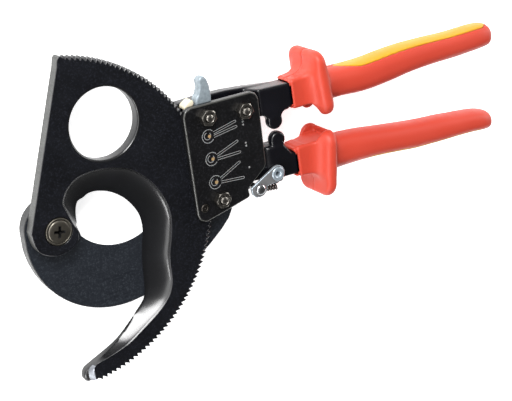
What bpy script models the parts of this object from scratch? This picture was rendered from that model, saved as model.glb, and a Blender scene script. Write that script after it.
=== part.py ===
"""Ratchet cable cutter: one named solid for each piece.

Dimensions are in millimetres, in the tool's own frame: X runs from the blade pivot to the handle ends,
Y towards the fixed handle, and Z out of the front cover, from the moving blade's front face.
"""
import math

import bmesh
import bpy
from mathutils import Vector

MM = 0.001
# Where the row's origin (bottom centre of the box) lies in the tool's frame
ORIGIN = (123.33, -0.7, -18.0)

# Axes of the parts that turn
PIVOT = (0.0, 0.0)
HANDLE_AXIS = (103.0, 0.0)
DRIVE_AXIS = (90.5, 3.5)
HOLD_AXIS = (87.0, 21.0)
LEVER_AXIS = (82.2, 32.0)
LATCH_AXIS = (116.6, -8.0)

# Housing bolts
BOLTS = {"a": (82.2, 32.0), "b": (102.4, 29.5), "c": (83.3, -10.5)}
BOLT_R = 2.0
BOLT_HOLE_R = 2.25

# Levels through the thickness
COVER = (0.4, 3.4)
BLADE = (-6.0, 0.0)
FRAME = (-12.3, -6.3)
REAR = (-15.4, -12.6)
HANDLE_BAR = (-9.5, 1.5)
HANDLE_MID = -4.0

# Toothed rim
TIP_R = 80.9
ROOT_R = 79.3
TOOTH_PITCH = 1.83
FIRST_TOOTH = -86.6
LAST_TOOTH = 78.0
TOOTH_RAMP = 0.84

WINDOW = (31.7, 43.0)
WINDOW_R = 17.1
BUSH_R = 6.6
BUSH_HOLE_R = 6.85

# Cove bevel: share of the width against share of the depth
COVE = ((0.10, 0.30), (0.25, 0.50), (0.50, 0.71), (0.75, 0.87))

# Moving blade: front edge of its bevel, and the cutting edge at its back
MOVING_BEVEL = (
    ((9.4, -2.5), (11.5, -1.2)),
    ((7.5, 2.0), (11.7, 1.6)),
    ((5.5, 8.0), (12.1, 4.4)),
    ((4.5, 12.0), (12.8, 6.9)),
    ((6.0, 16.0), (14.2, 9.0)),
    ((9.0, 19.5), (17.0, 9.8)),
    ((14.0, 22.3), (19.5, 10.8)),
    ((20.0, 23.0), (22.0, 11.0)),
    ((27.0, 22.5), (25.0, 10.5)),
    ((33.0, 21.0), (29.0, 9.0)),
    ((40.0, 18.0), (33.0, 6.6)),
    ((47.0, 12.0), (37.0, 3.0)),
    ((52.0, 5.0), (40.5, -1.8)),
    ((55.5, -3.0), (43.0, -7.0)),
    ((56.8, -10.0), (43.8, -12.0)),
    ((56.5, -16.0), (43.5, -17.0)),
    ((55.0, -23.0), (42.2, -22.5)),
    ((53.0, -30.0), (41.0, -28.5)),
    ((52.3, -35.0), (40.2, -34.5)),
    ((52.0, -41.0), (39.7, -41.0)),
    ((51.3, -46.0), (39.0, -46.5)),
    ((49.0, -51.0), (37.8, -50.3)),
    ((45.0, -55.0), (35.5, -53.0)),
    ((40.0, -58.5), (32.5, -55.6)),
    ((33.0, -62.5), (28.5, -59.1)),
    ((25.0, -66.8), (22.5, -63.7)),
    ((20.0, -68.5), (18.5, -66.2)),
    ((15.0, -69.8), (14.3, -68.0)),
    ((10.0, -70.7), (9.6, -69.8)),
    ((6.0, -71.4), (5.8, -71.2)),
    ((3.5, -73.0), (0.6, -73.4)),
    ((3.3, -74.8), (-0.9, -75.6)),
    ((3.3, -77.2), (-1.3, -78.0)),
    ((3.3, -79.4), (-0.2, -80.2)),
)
MOVING_LOBE = ((-13.2, 3.0), (-12.6, -3.0), (-10.5, -7.5), (-5.0, -10.8), (0.5, -11.4), (6.0, -9.8), (9.3, -6.3))
MOVING_CORNER = ((17.0, 79.2), (15.9, 78.9), (15.0, 77.6), (14.2, 74.6))

# Fixed blade
FIXED_EDGE_C = (34.0, 8.0)
FIXED_EDGE_R = 27.0
FIXED_BEVEL_R = 37.5
FIXED_ARC_C = (31.0, -4.3)
FIXED_ARC_R = 45.8
FIXED_LOBE_R = 14.5
FIXED_THROAT = ((12.5, -7.2), (11.7, -4.2), (11.2, -1.0), (11.1, 3.0), (10.6, 7.0), (9.2, 10.4))
FIXED_SHANK = ((38.0, -49.7), (50.0, -48.4), (62.0, -45.0), (72.0, -40.2), (79.0, -35.7), (86.0, -30.7),
               (91.0, -26.2), (93.6, -22.0), (94.0, -17.0), (94.0, 4.4), (92.0, 5.6), (61.4, 5.6))

FRONT_COVER = ((69.6, -14.8), (70.6, -18.0), (73.8, -19.6), (87.0, -17.3), (99.0, -14.9), (99.6, -13.6),
               (99.0, -10.6), (110.0, -2.6), (110.9, -0.8), (111.7, 32.6), (110.6, 35.9), (107.6, 37.2),
               (74.4, 38.7), (71.4, 37.6), (70.2, 34.8))
REAR_COVER = ((71.0, -15.6), (72.0, -17.4), (87.0, -17.3), (97.0, -14.9), (98.6, -10.6), (104.0, -8.2),
              (109.0, -5.6), (110.4, -1.0), (110.6, 32.0), (109.6, 34.8), (107.0, 35.8), (74.6, 36.3),
              (72.0, 35.4), (71.0, 33.0))
UPPER_TONGUE = ((70.6, 6.2), (92.4, 6.2), (94.8, 4.6), (95.1, -1.0), (97.2, -5.6), (101.0, -7.2),
                (105.2, -7.0), (108.8, -4.8), (110.4, -1.0), (111.2, 15.0), (112.8, 19.8), (117.0, 21.5),
                (126.0, 21.5), (126.0, 34.2), (112.0, 36.6), (100.0, 38.2), (86.0, 39.1), (74.0, 39.2),
                (71.4, 38.2), (70.6, 36.0))
UPPER_BAR = ((113.2, 21.4), (129.0, 21.6), (130.5, 22.6), (133.0, 23.4), (158.0, 22.4), (228.0, 22.8),
             (231.0, 23.8), (231.0, 27.2), (228.0, 28.2), (158.0, 29.2), (146.0, 32.4), (133.0, 33.8),
             (130.5, 34.8), (113.2, 36.5))
LOWER_EAR = ((86.6, 2.0), (88.0, -0.2), (92.0, -2.0), (99.0, -4.4), (99.0, 6.4), (93.0, 7.4), (89.2, 7.6),
             (86.8, 5.6))
LOWER_TONGUE = ((95.6, -4.6), (98.4, -7.6), (103.0, -8.8), (108.0, -9.6), (118.0, -11.6), (118.0, 5.5),
                (108.4, 6.6), (103.0, 8.6), (98.0, 7.0), (95.6, 4.4))
LOWER_BAR = ((113.6, -11.4), (121.6, -12.2), (128.6, -12.6), (133.0, -12.8), (158.0, -12.6), (180.0, -14.2),
             (222.0, -19.6), (225.0, -18.6), (225.6, -15.4), (180.0, -8.2), (158.0, -5.6), (133.0, -1.4),
             (127.8, -0.6), (123.6, 5.2), (113.6, 5.6))
STOP_UPPER = (121.0, 17.7)
STOP_LOWER = (121.0, 8.0)
STOP_R = 4.2
STOP_WEB = ((114.6, 23.0), (116.6, 20.4), (118.4, 18.2), (123.6, 18.4), (125.6, 20.6), (127.4, 23.0))
STOP_Z = (-3.4, 1.2)

# Grips: x, centre y, half height, half depth, squareness, lean
UPPER_GRIP = (
    (130.0, 28.6, 6.9, 5.9, 6.0, 0.0), (130.6, 28.6, 7.5, 6.5, 6.0, 0.0), (136.0, 28.7, 7.6, 6.7, 5.5, 0.0),
    (139.5, 29.0, 8.4, 7.6, 5.0, -0.03), (141.8, 29.5, 10.2, 9.0, 4.5, -0.06), (143.4, 30.2, 13.2, 11.2, 4.2, -0.08),
    (144.3, 30.6, 15.4, 12.8, 4.2, -0.08), (145.4, 30.8, 16.6, 13.8, 4.2, -0.08),
    (146.6, 30.8, 16.8, 14.0, 4.2, -0.08), (148.6, 30.8, 16.8, 14.0, 4.2, -0.08),
    (149.8, 30.8, 16.4, 13.6, 4.2, -0.08), (150.4, 30.4, 15.0, 12.4, 4.0, -0.08),
    (150.8, 28.6, 11.0, 10.4, 3.0, -0.08), (151.8, 27.6, 8.9, 9.0, 2.6, -0.06), (155.0, 26.9, 8.1, 8.5, 2.4, 0.0),
    (162.0, 26.5, 7.9, 8.5, 2.4, 0.0), (163.0, 26.4, 7.9, 8.5, 2.4, 0.0), (172.0, 25.7, 8.2, 8.5, 2.4, 0.0),
    (181.0, 25.6, 8.3, 8.5, 2.4, 0.0), (193.0, 26.2, 8.3, 8.4, 2.4, 0.0), (203.0, 26.7, 7.9, 8.3, 2.4, 0.0),
    (213.0, 26.7, 7.5, 8.1, 2.4, 0.0), (223.0, 26.4, 7.2, 8.0, 2.4, 0.0), (233.0, 25.9, 7.0, 7.9, 2.4, 0.0),
    (243.0, 25.8, 6.9, 7.8, 2.4, 0.0), (251.0, 25.8, 6.8, 7.7, 2.4, 0.0), (255.8, 25.6, 6.4, 7.2, 2.4, 0.0),
    (256.6, 25.5, 6.2, 7.0, 2.4, 0.0), (259.8, 25.1, 5.0, 5.7, 2.3, 0.0), (261.4, 24.9, 2.6, 3.6, 2.2, 0.0),
)
LOWER_GRIP = (
    (128.6, -6.6, 7.3, 5.9, 6.0, 0.09), (129.2, -6.6, 8.0, 6.5, 6.0, 0.09), (134.5, -6.8, 8.0, 6.7, 5.5, 0.09),
    (138.0, -7.3, 8.8, 7.6, 5.0, 0.11), (140.4, -8.6, 10.6, 9.0, 4.5, 0.13), (142.0, -10.2, 13.4, 11.2, 4.2, 0.14),
    (142.9, -11.0, 15.4, 12.8, 4.2, 0.14), (144.0, -11.5, 16.6, 13.8, 4.2, 0.14), (145.2, -11.5, 16.8, 14.0, 4.2, 0.14),
    (147.0, -11.5, 16.8, 14.0, 4.2, 0.14), (148.2, -11.5, 16.4, 13.6, 4.2, 0.14), (148.8, -11.2, 15.0, 12.4, 4.0, 0.14),
    (149.2, -10.2, 11.0, 10.4, 3.0, 0.14), (150.2, -9.6, 9.2, 9.0, 2.6, 0.12), (155.0, -9.4, 8.7, 8.5, 2.4, 0.06),
    (162.0, -9.8, 8.5, 8.5, 2.4, 0.0), (163.0, -9.8, 8.5, 8.5, 2.4, 0.0), (172.0, -10.7, 8.1, 8.5, 2.4, 0.0),
    (182.0, -12.1, 7.7, 8.5, 2.4, 0.0), (193.0, -13.8, 7.5, 8.4, 2.4, 0.0), (203.0, -15.4, 7.4, 8.3, 2.4, 0.0),
    (213.0, -16.5, 7.1, 8.1, 2.4, 0.0), (223.0, -17.4, 6.9, 8.0, 2.4, 0.0), (233.0, -18.4, 6.4, 7.9, 2.4, 0.0),
    (243.0, -19.5, 6.1, 7.8, 2.4, 0.0), (249.0, -20.5, 5.9, 7.6, 2.4, 0.0), (252.4, -21.2, 5.5, 7.0, 2.4, 0.0),
    (253.2, -21.4, 5.3, 6.8, 2.4, 0.0), (255.8, -22.1, 3.9, 5.5, 2.3, 0.0), (257.4, -22.5, 2.4, 3.5, 2.2, 0.0),
)
GRIP_SIDES = 32
# Gap between the two ears on each guard's inner side
UPPER_NOTCH = ((139.0, 8.0), (151.6, 8.0), (151.6, 20.4), (150.6, 21.0), (139.0, 21.1))
LOWER_NOTCH = ((137.0, 16.0), (137.0, 1.4), (150.0, 1.0), (151.0, 0.4), (151.0, 16.0))
NOTCH_Z = (-11.0, 3.0)
INLAY_HALF_ANGLE = 42.0
INLAY_DEPTH = 1.7
INLAY_GAP = 0.12

LEVER_HUB_R = 4.4
LEVER_ARM = ((85.2, 28.0), (85.2, 25.8), (87.0, 25.8), (87.4, 30.4), (88.2, 36.0), (88.6, 41.0), (88.3, 45.6),
             (87.4, 49.0), (85.9, 50.6), (84.0, 50.6), (82.6, 49.2), (82.6, 45.4), (81.4, 42.6), (80.2, 41.0),
             (79.5, 39.4), (79.2, 36.6), (78.3, 33.6), (78.3, 29.6), (81.0, 27.6))
LEVER_TIP = ((74.7, 38.1), (77.1, 39.5))
LEVER_TIP_R = 1.6

SMOOTH_ANGLE = math.radians(38.0)


def place(x, y, z):
    """Tool-frame millimetres to row-frame metres."""
    return Vector(((x - ORIGIN[0]) * MM, (y - ORIGIN[1]) * MM, (z - ORIGIN[2]) * MM))


def circle(centre, radius, sides=32, start=0.0, sweep=360.0, ends=False):
    """Points round a circle or an arc, anticlockwise."""
    steps = sides if not ends else sides + 1
    points = []
    for i in range(steps):
        angle = math.radians(start + sweep * i / sides)
        points.append((centre[0] + radius * math.cos(angle), centre[1] + radius * math.sin(angle)))
    return points


def spline(values, steps):
    """Catmull-Rom through tuples of numbers."""
    out = []
    last = len(values) - 1
    for i in range(last):
        before = values[max(i - 1, 0)]
        here = values[i]
        there = values[i + 1]
        after = values[min(i + 2, last)]
        for k in range(steps):
            t = k / steps
            out.append(tuple(
                0.5 * (2 * b + (c - a) * t + (2 * a - 5 * b + 4 * c - d) * t ** 2 + (3 * b - a - 3 * c + d) * t ** 3)
                for a, b, c, d in zip(before, here, there, after)))
    out.append(values[last])
    return out


def rounded(points, radius, steps=3):
    """Round each corner of a closed outline."""
    out = []
    count = len(points)
    for i in range(count):
        corner = Vector(points[i])
        back = Vector(points[i - 1]) - corner
        ahead = Vector(points[(i + 1) % count]) - corner
        turn = back.angle(ahead)
        if turn > math.radians(158.0):
            out.append(tuple(corner))
            continue
        reach = min(radius / math.tan(turn / 2), back.length * 0.45, ahead.length * 0.45)
        start = corner + back.normalized() * reach
        end = corner + ahead.normalized() * reach
        for k in range(steps + 1):
            t = k / steps
            out.append(tuple(start * (1 - t) ** 2 + corner * 2 * t * (1 - t) + end * t ** 2))
    return out


def finish(bm, name, colour, bevel=0.0, collection=None):
    """Turn a bmesh into an object whose origin is the row's origin."""
    bmesh.ops.recalc_face_normals(bm, faces=bm.faces)
    mesh = bpy.data.meshes.new(name)
    bm.to_mesh(mesh)
    bm.free()
    obj = bpy.data.objects.new(name, mesh)
    (collection or parts).objects.link(obj)
    mesh.materials.append(materials[colour])
    mesh.shade_smooth()
    mesh.set_sharp_from_angle(angle=SMOOTH_ANGLE)
    if bevel:
        edge = obj.modifiers.new("Edges", "BEVEL")
        edge.width = bevel * MM
        edge.segments = 1
        edge.limit_method = "ANGLE"
        edge.angle_limit = math.radians(55.0)
        edge.use_clamp_overlap = True
    return obj


def set_axis(obj, axis, z=0.0):
    """Move an object's origin onto its joint's axis."""
    home = place(axis[0], axis[1], z)
    obj.data.transform(obj.matrix_world.Translation(-home))
    obj.location = home
    return obj


def cap(bm, loops):
    """Fill the face between an outline and its holes."""
    edges = []
    for loop in loops:
        for i, vert in enumerate(loop):
            edges.append(bm.edges.get((vert, loop[i - 1])) or bm.edges.new((vert, loop[i - 1])))
    bmesh.ops.triangle_fill(bm, use_beauty=True, use_dissolve=False, edges=edges)


def wall(bm, low, high):
    """Join two loops that have the same number of points."""
    for i in range(len(low)):
        bm.faces.new((low[i - 1], low[i], high[i], high[i - 1]))


def plate(name, colour, outline, levels, holes=(), bevel=0.0, collection=None):
    """A flat plate with holes."""
    bm = bmesh.new()
    low = []
    high = []
    for loop in [outline] + list(holes):
        low.append([bm.verts.new(place(x, y, levels[0])) for x, y in loop])
        high.append([bm.verts.new(place(x, y, levels[1])) for x, y in loop])
        wall(bm, low[-1], high[-1])
    cap(bm, low)
    cap(bm, high)
    return finish(bm, name, colour, bevel, collection)


def turned(name, colour, centre, profile, sides=32, collection=None):
    """A round piece: profile is a closed chain of (radius, z), or starts and ends on the axis."""
    bm = bmesh.new()
    rings = []
    for radius, z in profile:
        if radius == 0:
            rings.append([bm.verts.new(place(centre[0], centre[1], z))])
        else:
            rings.append([bm.verts.new(place(x, y, z)) for x, y in circle(centre, radius, sides)])
    pairs = list(zip(rings, rings[1:]))
    if profile[0][0] != 0:
        pairs.append((rings[-1], rings[0]))
    for first, second in pairs:
        for i in range(sides):
            corners = [first[i - 1], first[i]] if len(first) > 1 else [first[0]]
            corners += [second[i], second[i - 1]] if len(second) > 1 else [second[0]]
            bm.faces.new(corners)
    return finish(bm, name, colour, 0.0, collection)


def bevelled_blade(name, colour, columns, levels, holes):
    """A blade: each column is (front point, back point, whether it lies on the cove bevel)."""
    bm = bmesh.new()
    front_z = levels[1]
    depth = levels[0] - levels[1]
    chains = []
    for front, back, coved in columns:
        chain = [bm.verts.new(place(front[0], front[1], front_z))]
        if coved:
            for across, down in COVE:
                x = front[0] + (back[0] - front[0]) * across
                y = front[1] + (back[1] - front[1]) * across
                chain.append(bm.verts.new(place(x, y, front_z + depth * down)))
        chain.append(bm.verts.new(place(back[0], back[1], front_z + depth)))
        chains.append(chain)
    for i, chain in enumerate(chains):
        before = chains[i - 1]
        if len(chain) == len(before):
            for upper in range(len(chain) - 1):
                bm.faces.new((before[upper], chain[upper], chain[upper + 1], before[upper + 1]))
        else:
            bm.faces.new(before + chain[::-1])
    tops = [[chain[0] for chain in chains]]
    bottoms = [[chain[-1] for chain in chains]]
    for centre, radius, chamfer in holes:
        rims = []
        for ring_r, z in ((radius + chamfer, front_z), (radius, front_z - chamfer), (radius, front_z + depth)):
            rims.append([bm.verts.new(place(x, y, z)) for x, y in circle(centre, ring_r, 40)])
        wall(bm, rims[0], rims[1])
        wall(bm, rims[1], rims[2])
        tops.append(rims[0])
        bottoms.append(rims[2])
    cap(bm, tops)
    cap(bm, bottoms)
    return finish(bm, name, colour)


def loft(bm, rings):
    """Skin a row of rings with the same number of points, and close both ends."""
    for low, high in zip(rings, rings[1:]):
        wall(bm, low, high)
    bm.faces.new(rings[0])
    bm.faces.new(rings[-1][::-1])


def oval(angle, half_y, half_z, power):
    """Point on a squared oval; the angle is from the +Y side towards +Z."""
    c = math.cos(math.radians(angle))
    s = math.sin(math.radians(angle))
    y = half_y * math.copysign(abs(c) ** (2 / power), c)
    z = half_z * math.copysign(abs(s) ** (2 / power), s)
    return y, z


def add_cutter(obj, cutter, operation="DIFFERENCE"):
    """Boolean with a mesh from the cutters' collection."""
    cut = obj.modifiers.new("Cut", "BOOLEAN")
    cut.operation = operation
    cut.solver = "EXACT"
    cut.object = cutter
    cutter.hide_render = True
    cutter.display_type = "WIRE"
    edge = obj.modifiers.get("Edges")
    if edge:
        obj.modifiers.move(obj.modifiers.find("Edges"), len(obj.modifiers) - 1)


def material(name, colour, metallic, roughness):
    mat = bpy.data.materials.new(name)
    mat.use_nodes = True
    shader = mat.node_tree.nodes["Principled BSDF"]
    shader.inputs["Base Color"].default_value = (*colour, 1.0)
    shader.inputs["Metallic"].default_value = metallic
    shader.inputs["Roughness"].default_value = roughness
    mat.diffuse_color = (*colour, 1.0)
    return mat


def build_moving_blade():
    columns = [(point, point, False) for point in MOVING_LOBE]
    flat = [front + back for front, back in MOVING_BEVEL]
    for fx, fy, bx, by in spline(flat, 2):
        columns.append(((fx, fy), (bx, by), True))
    angle = FIRST_TOOTH
    while angle + TOOTH_PITCH < LAST_TOOTH + 0.01:
        for turn, radius in ((0.0, ROOT_R), (TOOTH_RAMP * TOOTH_PITCH, TIP_R)):
            a = math.radians(angle + turn)
            point = (radius * math.cos(a), radius * math.sin(a))
            columns.append((point, point, False))
        angle += TOOTH_PITCH
    columns += [(point, point, False) for point in MOVING_CORNER]
    holes = ((WINDOW, WINDOW_R, 1.2), (PIVOT, BUSH_HOLE_R, 0.3))
    return set_axis(bevelled_blade("moving_blade", "blade_steel", columns, BLADE, holes), PIVOT)


def build_fixed_blade():
    """Its cutting edge is at the front, against the moving blade, with the bevel at the back."""
    columns = []
    steps = 28
    for i, (x, y) in enumerate(circle(FIXED_EDGE_C, FIXED_EDGE_R, steps, -5.5, -136.0, ends=True)):
        fade = min(1.0, i / 6, (steps - i) / 9)
        reach = 1.004 + (FIXED_BEVEL_R / FIXED_EDGE_R - 1.0) * fade
        back = (FIXED_EDGE_C[0] + (x - FIXED_EDGE_C[0]) * reach, FIXED_EDGE_C[1] + (y - FIXED_EDGE_C[1]) * reach)
        columns.append(((x, y), back))
    columns = [(back, front, True) for front, back in columns]
    outline = spline(FIXED_THROAT, 3) + circle(PIVOT, FIXED_LOBE_R, 10, 64.0, 113.0, ends=True)
    outline += circle(FIXED_ARC_C, FIXED_ARC_R, 22, 183.0, 93.0, ends=True)
    outline += list(FIXED_SHANK)
    columns += [(point, point, False) for point in outline]
    levels = (FRAME[1], FRAME[0])
    holes = ((PIVOT, BUSH_HOLE_R, 0.0), (BOLTS["c"], BOLT_HOLE_R, 0.0))
    return bevelled_plate_from(columns, levels, holes)


def bevelled_plate_from(columns, levels, holes):
    """The fixed blade, whose cove opens to the back."""
    bm = bmesh.new()
    edge_z, back_z = levels
    chains = []
    for back, front, coved in columns:
        chain = [bm.verts.new(place(front[0], front[1], edge_z))]
        if coved:
            for across, down in COVE[::-1]:
                x = back[0] + (front[0] - back[0]) * across
                y = back[1] + (front[1] - back[1]) * across
                chain.append(bm.verts.new(place(x, y, back_z + (edge_z - back_z) * down)))
        chain.append(bm.verts.new(place(back[0], back[1], back_z)))
        chains.append(chain)
    for i, chain in enumerate(chains):
        before = chains[i - 1]
        if len(chain) == len(before):
            for upper in range(len(chain) - 1):
                bm.faces.new((before[upper], chain[upper], chain[upper + 1], before[upper + 1]))
        else:
            bm.faces.new(before + chain[::-1])
    tops = [[chain[0] for chain in chains]]
    bottoms = [[chain[-1] for chain in chains]]
    for centre, radius, _ in holes:
        tops.append([bm.verts.new(place(x, y, edge_z)) for x, y in circle(centre, radius, 40)])
        bottoms.append([bm.verts.new(place(x, y, back_z)) for x, y in circle(centre, radius, 40)])
        wall(bm, tops[-1], bottoms[-1])
    cap(bm, tops)
    cap(bm, bottoms)
    return finish(bm, "fixed_blade", "frame_steel")


def build_pivot():
    turned("pivot_bush", "dark_steel", PIVOT, (
        (4.4, -12.2), (BUSH_R, -12.2), (BUSH_R, 0.15), (6.3, 0.4), (5.9, 0.4), (5.7, 0.2), (5.7, -1.4), (4.4, -1.4)), 40)
    screw = turned("pivot_screw", "dark_steel", PIVOT, (
        (0, -17.6), (3.2, -17.6), (3.9, -17.0), (4.1, -1.2), (5.4, -1.1), (5.4, 0.4), (4.9, 1.0), (0, 1.0)), 40)
    arms = plate("cross_recess", "dark_steel", (
        (-0.65, -2.7), (0.65, -2.7), (0.65, -0.65), (2.7, -0.65), (2.7, 0.65), (0.65, 0.65), (0.65, 2.7),
        (-0.65, 2.7), (-0.65, 0.65), (-2.7, 0.65), (-2.7, -0.65), (-0.65, -0.65)), (-0.7, 3.0), collection=cutters)
    add_cutter(screw, arms)
    turned("pivot_washer", "dark_steel", PIVOT, (
        (4.4, -14.0), (9.0, -14.0), (9.4, -13.7), (9.4, -12.6), (4.4, -12.6)), 40)
    plate("pivot_nut", "dark_steel", circle(PIVOT, 7.5, 6, 30.0), (-18.0, -14.2), [circle(PIVOT, 4.3, 24)], 0.4)


def build_housing():
    holes = [circle(BOLTS[key], BOLT_HOLE_R, 24) for key in BOLTS]
    rivet = circle((73.8, -12.3), 1.25, 16)
    plate("front_cover", "black_steel", rounded(FRONT_COVER, 2.2), COVER, holes + [rivet], 0.5)
    back_holes = holes + [circle(HANDLE_AXIS, 4.25, 28)]
    plate("rear_cover", "black_steel", rounded(REAR_COVER, 2.2), REAR, back_holes, 0.4)
    turned("cover_rivet", "dark_steel", (73.8, -12.3), (
        (0, 0.5), (1.0, 0.5), (1.0, 3.6), (2.2, 3.6), (2.2, 3.9), (1.7, 4.2), (0, 4.25)), 24)
    for key, centre in BOLTS.items():
        turned("bolt_" + key, "dark_steel", centre, (
            (0, -17.8), (2.6, -17.8), (3.6, -17.2), (3.8, -15.6), (BOLT_R, -15.6), (BOLT_R, 6.8), (1.6, 7.2), (0, 7.2)), 24)
        plate("nut_" + key, "dark_steel", circle(centre, 4.2, 6, 12.0), (3.5, 6.6), [circle(centre, 2.15, 20)], 0.35)
    for key in "bc":
        radius = 4.0 if key == "b" else 2.65
        turned("spacer_" + key, "dark_steel", BOLTS[key], (
            (BOLT_HOLE_R, -6.2), (radius, -6.2), (radius, 0.3), (BOLT_HOLE_R, 0.3)), 28)
    turned("handle_pivot_pin", "dark_steel", HANDLE_AXIS, (
        (0, -15.3), (3.7, -15.3), (4.0, -15.0), (4.0, -0.2), (3.7, 0.1), (0, 0.1)), 36)


def build_upper_handle():
    holes = [circle(BOLTS["a"], BOLT_HOLE_R, 24), circle(BOLTS["b"], BOLT_HOLE_R, 24)]
    holes += [circle(HANDLE_AXIS, 4.25, 36), circle(HOLD_AXIS, 2.15, 20)]
    tongue = plate("upper_handle_bar", "black_steel", rounded(UPPER_TONGUE, 1.5, 2), FRAME, holes, 0.6)
    bar = plate("upper_bar", "black_steel", rounded(UPPER_BAR, 2.0, 2), HANDLE_BAR, collection=cutters)
    stop = turned("upper_stop", "black_steel", STOP_UPPER, (
        (0, STOP_Z[0]), (STOP_R - 1.2, STOP_Z[0]), (STOP_R, STOP_Z[0] + 1.2), (STOP_R, STOP_Z[1] - 0.9),
        (STOP_R - 0.9, STOP_Z[1]), (0, STOP_Z[1])), 24, cutters)
    web = plate("upper_web", "black_steel", STOP_WEB, STOP_Z, collection=cutters)
    for piece in (bar, web, stop):
        add_cutter(tongue, piece, "UNION")


def build_lower_handle():
    hole = circle(HANDLE_AXIS, 4.25, 36)
    tongue = plate("lower_handle_bar", "black_steel", rounded(LOWER_TONGUE, 1.5, 2), BLADE, [hole], 0.5)
    set_axis(tongue, HANDLE_AXIS)
    ear = plate("lower_ear", "black_steel", rounded(LOWER_EAR, 1.5, 2), (-6.0, -3.3), [circle(DRIVE_AXIS, 2.15, 20)],
                collection=cutters)
    rivet = circle(LATCH_AXIS, 2.25, 24)
    bar = plate("lower_bar", "black_steel", rounded(LOWER_BAR, 1.5, 2), HANDLE_BAR, collection=cutters)
    through = plate("rivet_hole", "black_steel", rivet, (-14.0, 6.0), collection=cutters)
    stop = turned("lower_stop", "black_steel", STOP_LOWER, (
        (0, STOP_Z[0]), (STOP_R - 1.2, STOP_Z[0]), (STOP_R, STOP_Z[0] + 1.2), (STOP_R, STOP_Z[1] - 0.9),
        (STOP_R - 0.9, STOP_Z[1]), (0, STOP_Z[1])), 24, cutters)
    lug = plate("lower_lug", "black_steel", ((117.0, -14.6), (121.4, -14.9), (122.6, -13.8), (122.6, -10.5),
                                             (117.0, -10.5)), (-6.5, -1.5), collection=cutters)
    for piece in (ear, bar, stop, lug):
        add_cutter(tongue, piece, "UNION")
    add_cutter(tongue, through)


def grip_ring(bm, station, centre_angle, recess):
    """One ring of a grip, with its outer face stepped down where the inlay lies."""
    x, y, half_y, half_z, power, lean = station
    ring = []
    for i in range(GRIP_SIDES + 1):
        share = i / GRIP_SIDES
        angle = centre_angle + INLAY_HALF_ANGLE + share * (360.0 - 2 * INLAY_HALF_ANGLE)
        dy, dz = oval(angle, half_y, half_z, power)
        ring.append(bm.verts.new(place(x + lean * dy, y + dy, HANDLE_MID + dz)))
    steps = 8
    for i in range(steps + 1):
        inner = -INLAY_HALF_ANGLE + 2 * INLAY_HALF_ANGLE * i / steps
        inset = recess if recess else 0.0
        if not recess and i in (0, steps):
            inner *= 0.97
        dy, dz = oval(centre_angle + inner, half_y - inset, half_z - inset, power)
        ring.append(bm.verts.new(place(x + lean * dy, y + dy, HANDLE_MID + dz)))
    return ring


def inlay_ring(bm, station, centre_angle):
    """One ring of an inlay: its outer arc, then its inner arc."""
    x, y, half_y, half_z, power, _ = station
    ring = []
    reach = INLAY_HALF_ANGLE - 1.2
    steps = 10
    for inset, order in ((0.0, range(steps + 1)), (INLAY_DEPTH - INLAY_GAP, range(steps, -1, -1))):
        for i in order:
            angle = centre_angle - reach + 2 * reach * i / steps
            dy, dz = oval(angle, half_y - inset, half_z - inset, power)
            ring.append(bm.verts.new(place(x, y + dy, HANDLE_MID + dz)))
    return ring


def build_grip(name, stations, centre_angle, pocket, notch, inlay_span):
    start, end = inlay_span
    bm = bmesh.new()
    rings = []
    for station in stations:
        inside = start <= station[0] <= end
        rings.append(grip_ring(bm, station, centre_angle, INLAY_DEPTH if inside else 0.0))
    loft(bm, rings)
    grip = finish(bm, name, "grip_red")
    hole = plate(name + "_pocket", "grip_red", pocket, (HANDLE_BAR[0] - 0.3, HANDLE_BAR[1] + 0.3), collection=cutters)
    add_cutter(grip, hole)
    gap = plate(name + "_notch", "grip_red", rounded(notch, 1.0, 2), NOTCH_Z, collection=cutters)
    add_cutter(grip, gap)
    bm = bmesh.new()
    rings = []
    inner = [station for station in stations if start <= station[0] <= end]
    first = (inner[0][0] + 0.25,) + inner[0][1:]
    last = (inner[-1][0] - 0.25,) + inner[-1][1:]
    for station in [first] + inner[1:-1] + [last]:
        rings.append(inlay_ring(bm, station, centre_angle))
    loft(bm, rings)
    return grip, finish(bm, name + "_inlay", "grip_yellow")


def widen(outline, gap, start):
    """A bar's outline grown by a gap, from a given x on, and open past the grip's mouth."""
    xs = [x for x, y in outline if x > start]
    low = [(x, y - gap) for x, y in outline if x > start and y < centre_line(outline, x)]
    high = [(x, y + gap) for x, y in outline if x > start and y >= centre_line(outline, x)]
    low = sorted(low)
    high = sorted(high, reverse=True)
    end = max(xs) + gap
    low = [(x if x < max(xs) - 0.1 else end, y) for x, y in low]
    high = [(x if x < max(xs) - 0.1 else end, y) for x, y in high]
    mouth = start - 12.0
    return [(mouth, low[0][1])] + low + high + [(mouth, high[-1][1])]


def centre_line(outline, x):
    near = [y for px, y in outline if abs(px - x) < 6.0]
    return (min(near) + max(near)) / 2


def build_grips():
    build_grip("upper_grip", UPPER_GRIP, 0.0, widen(UPPER_BAR, 0.3, 128.5), UPPER_NOTCH, (162.5, 256.2))
    pieces = build_grip("lower_grip", LOWER_GRIP, 180.0, widen(LOWER_BAR, 0.3, 127.5), LOWER_NOTCH, (162.5, 252.8))
    for piece in pieces:
        set_axis(piece, HANDLE_AXIS)


def ribbon(points, half_width):
    """Outline of a thin strip that follows a line of points."""
    left = []
    right = []
    for i, point in enumerate(points):
        before = Vector(points[max(i - 1, 0)])
        after = Vector(points[min(i + 1, len(points) - 1)])
        along = (after - before).normalized()
        side = Vector((-along.y, along.x)) * half_width
        left.append(tuple(Vector(point) + side))
        right.append(tuple(Vector(point) - side))
    return left + right[::-1]


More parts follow.
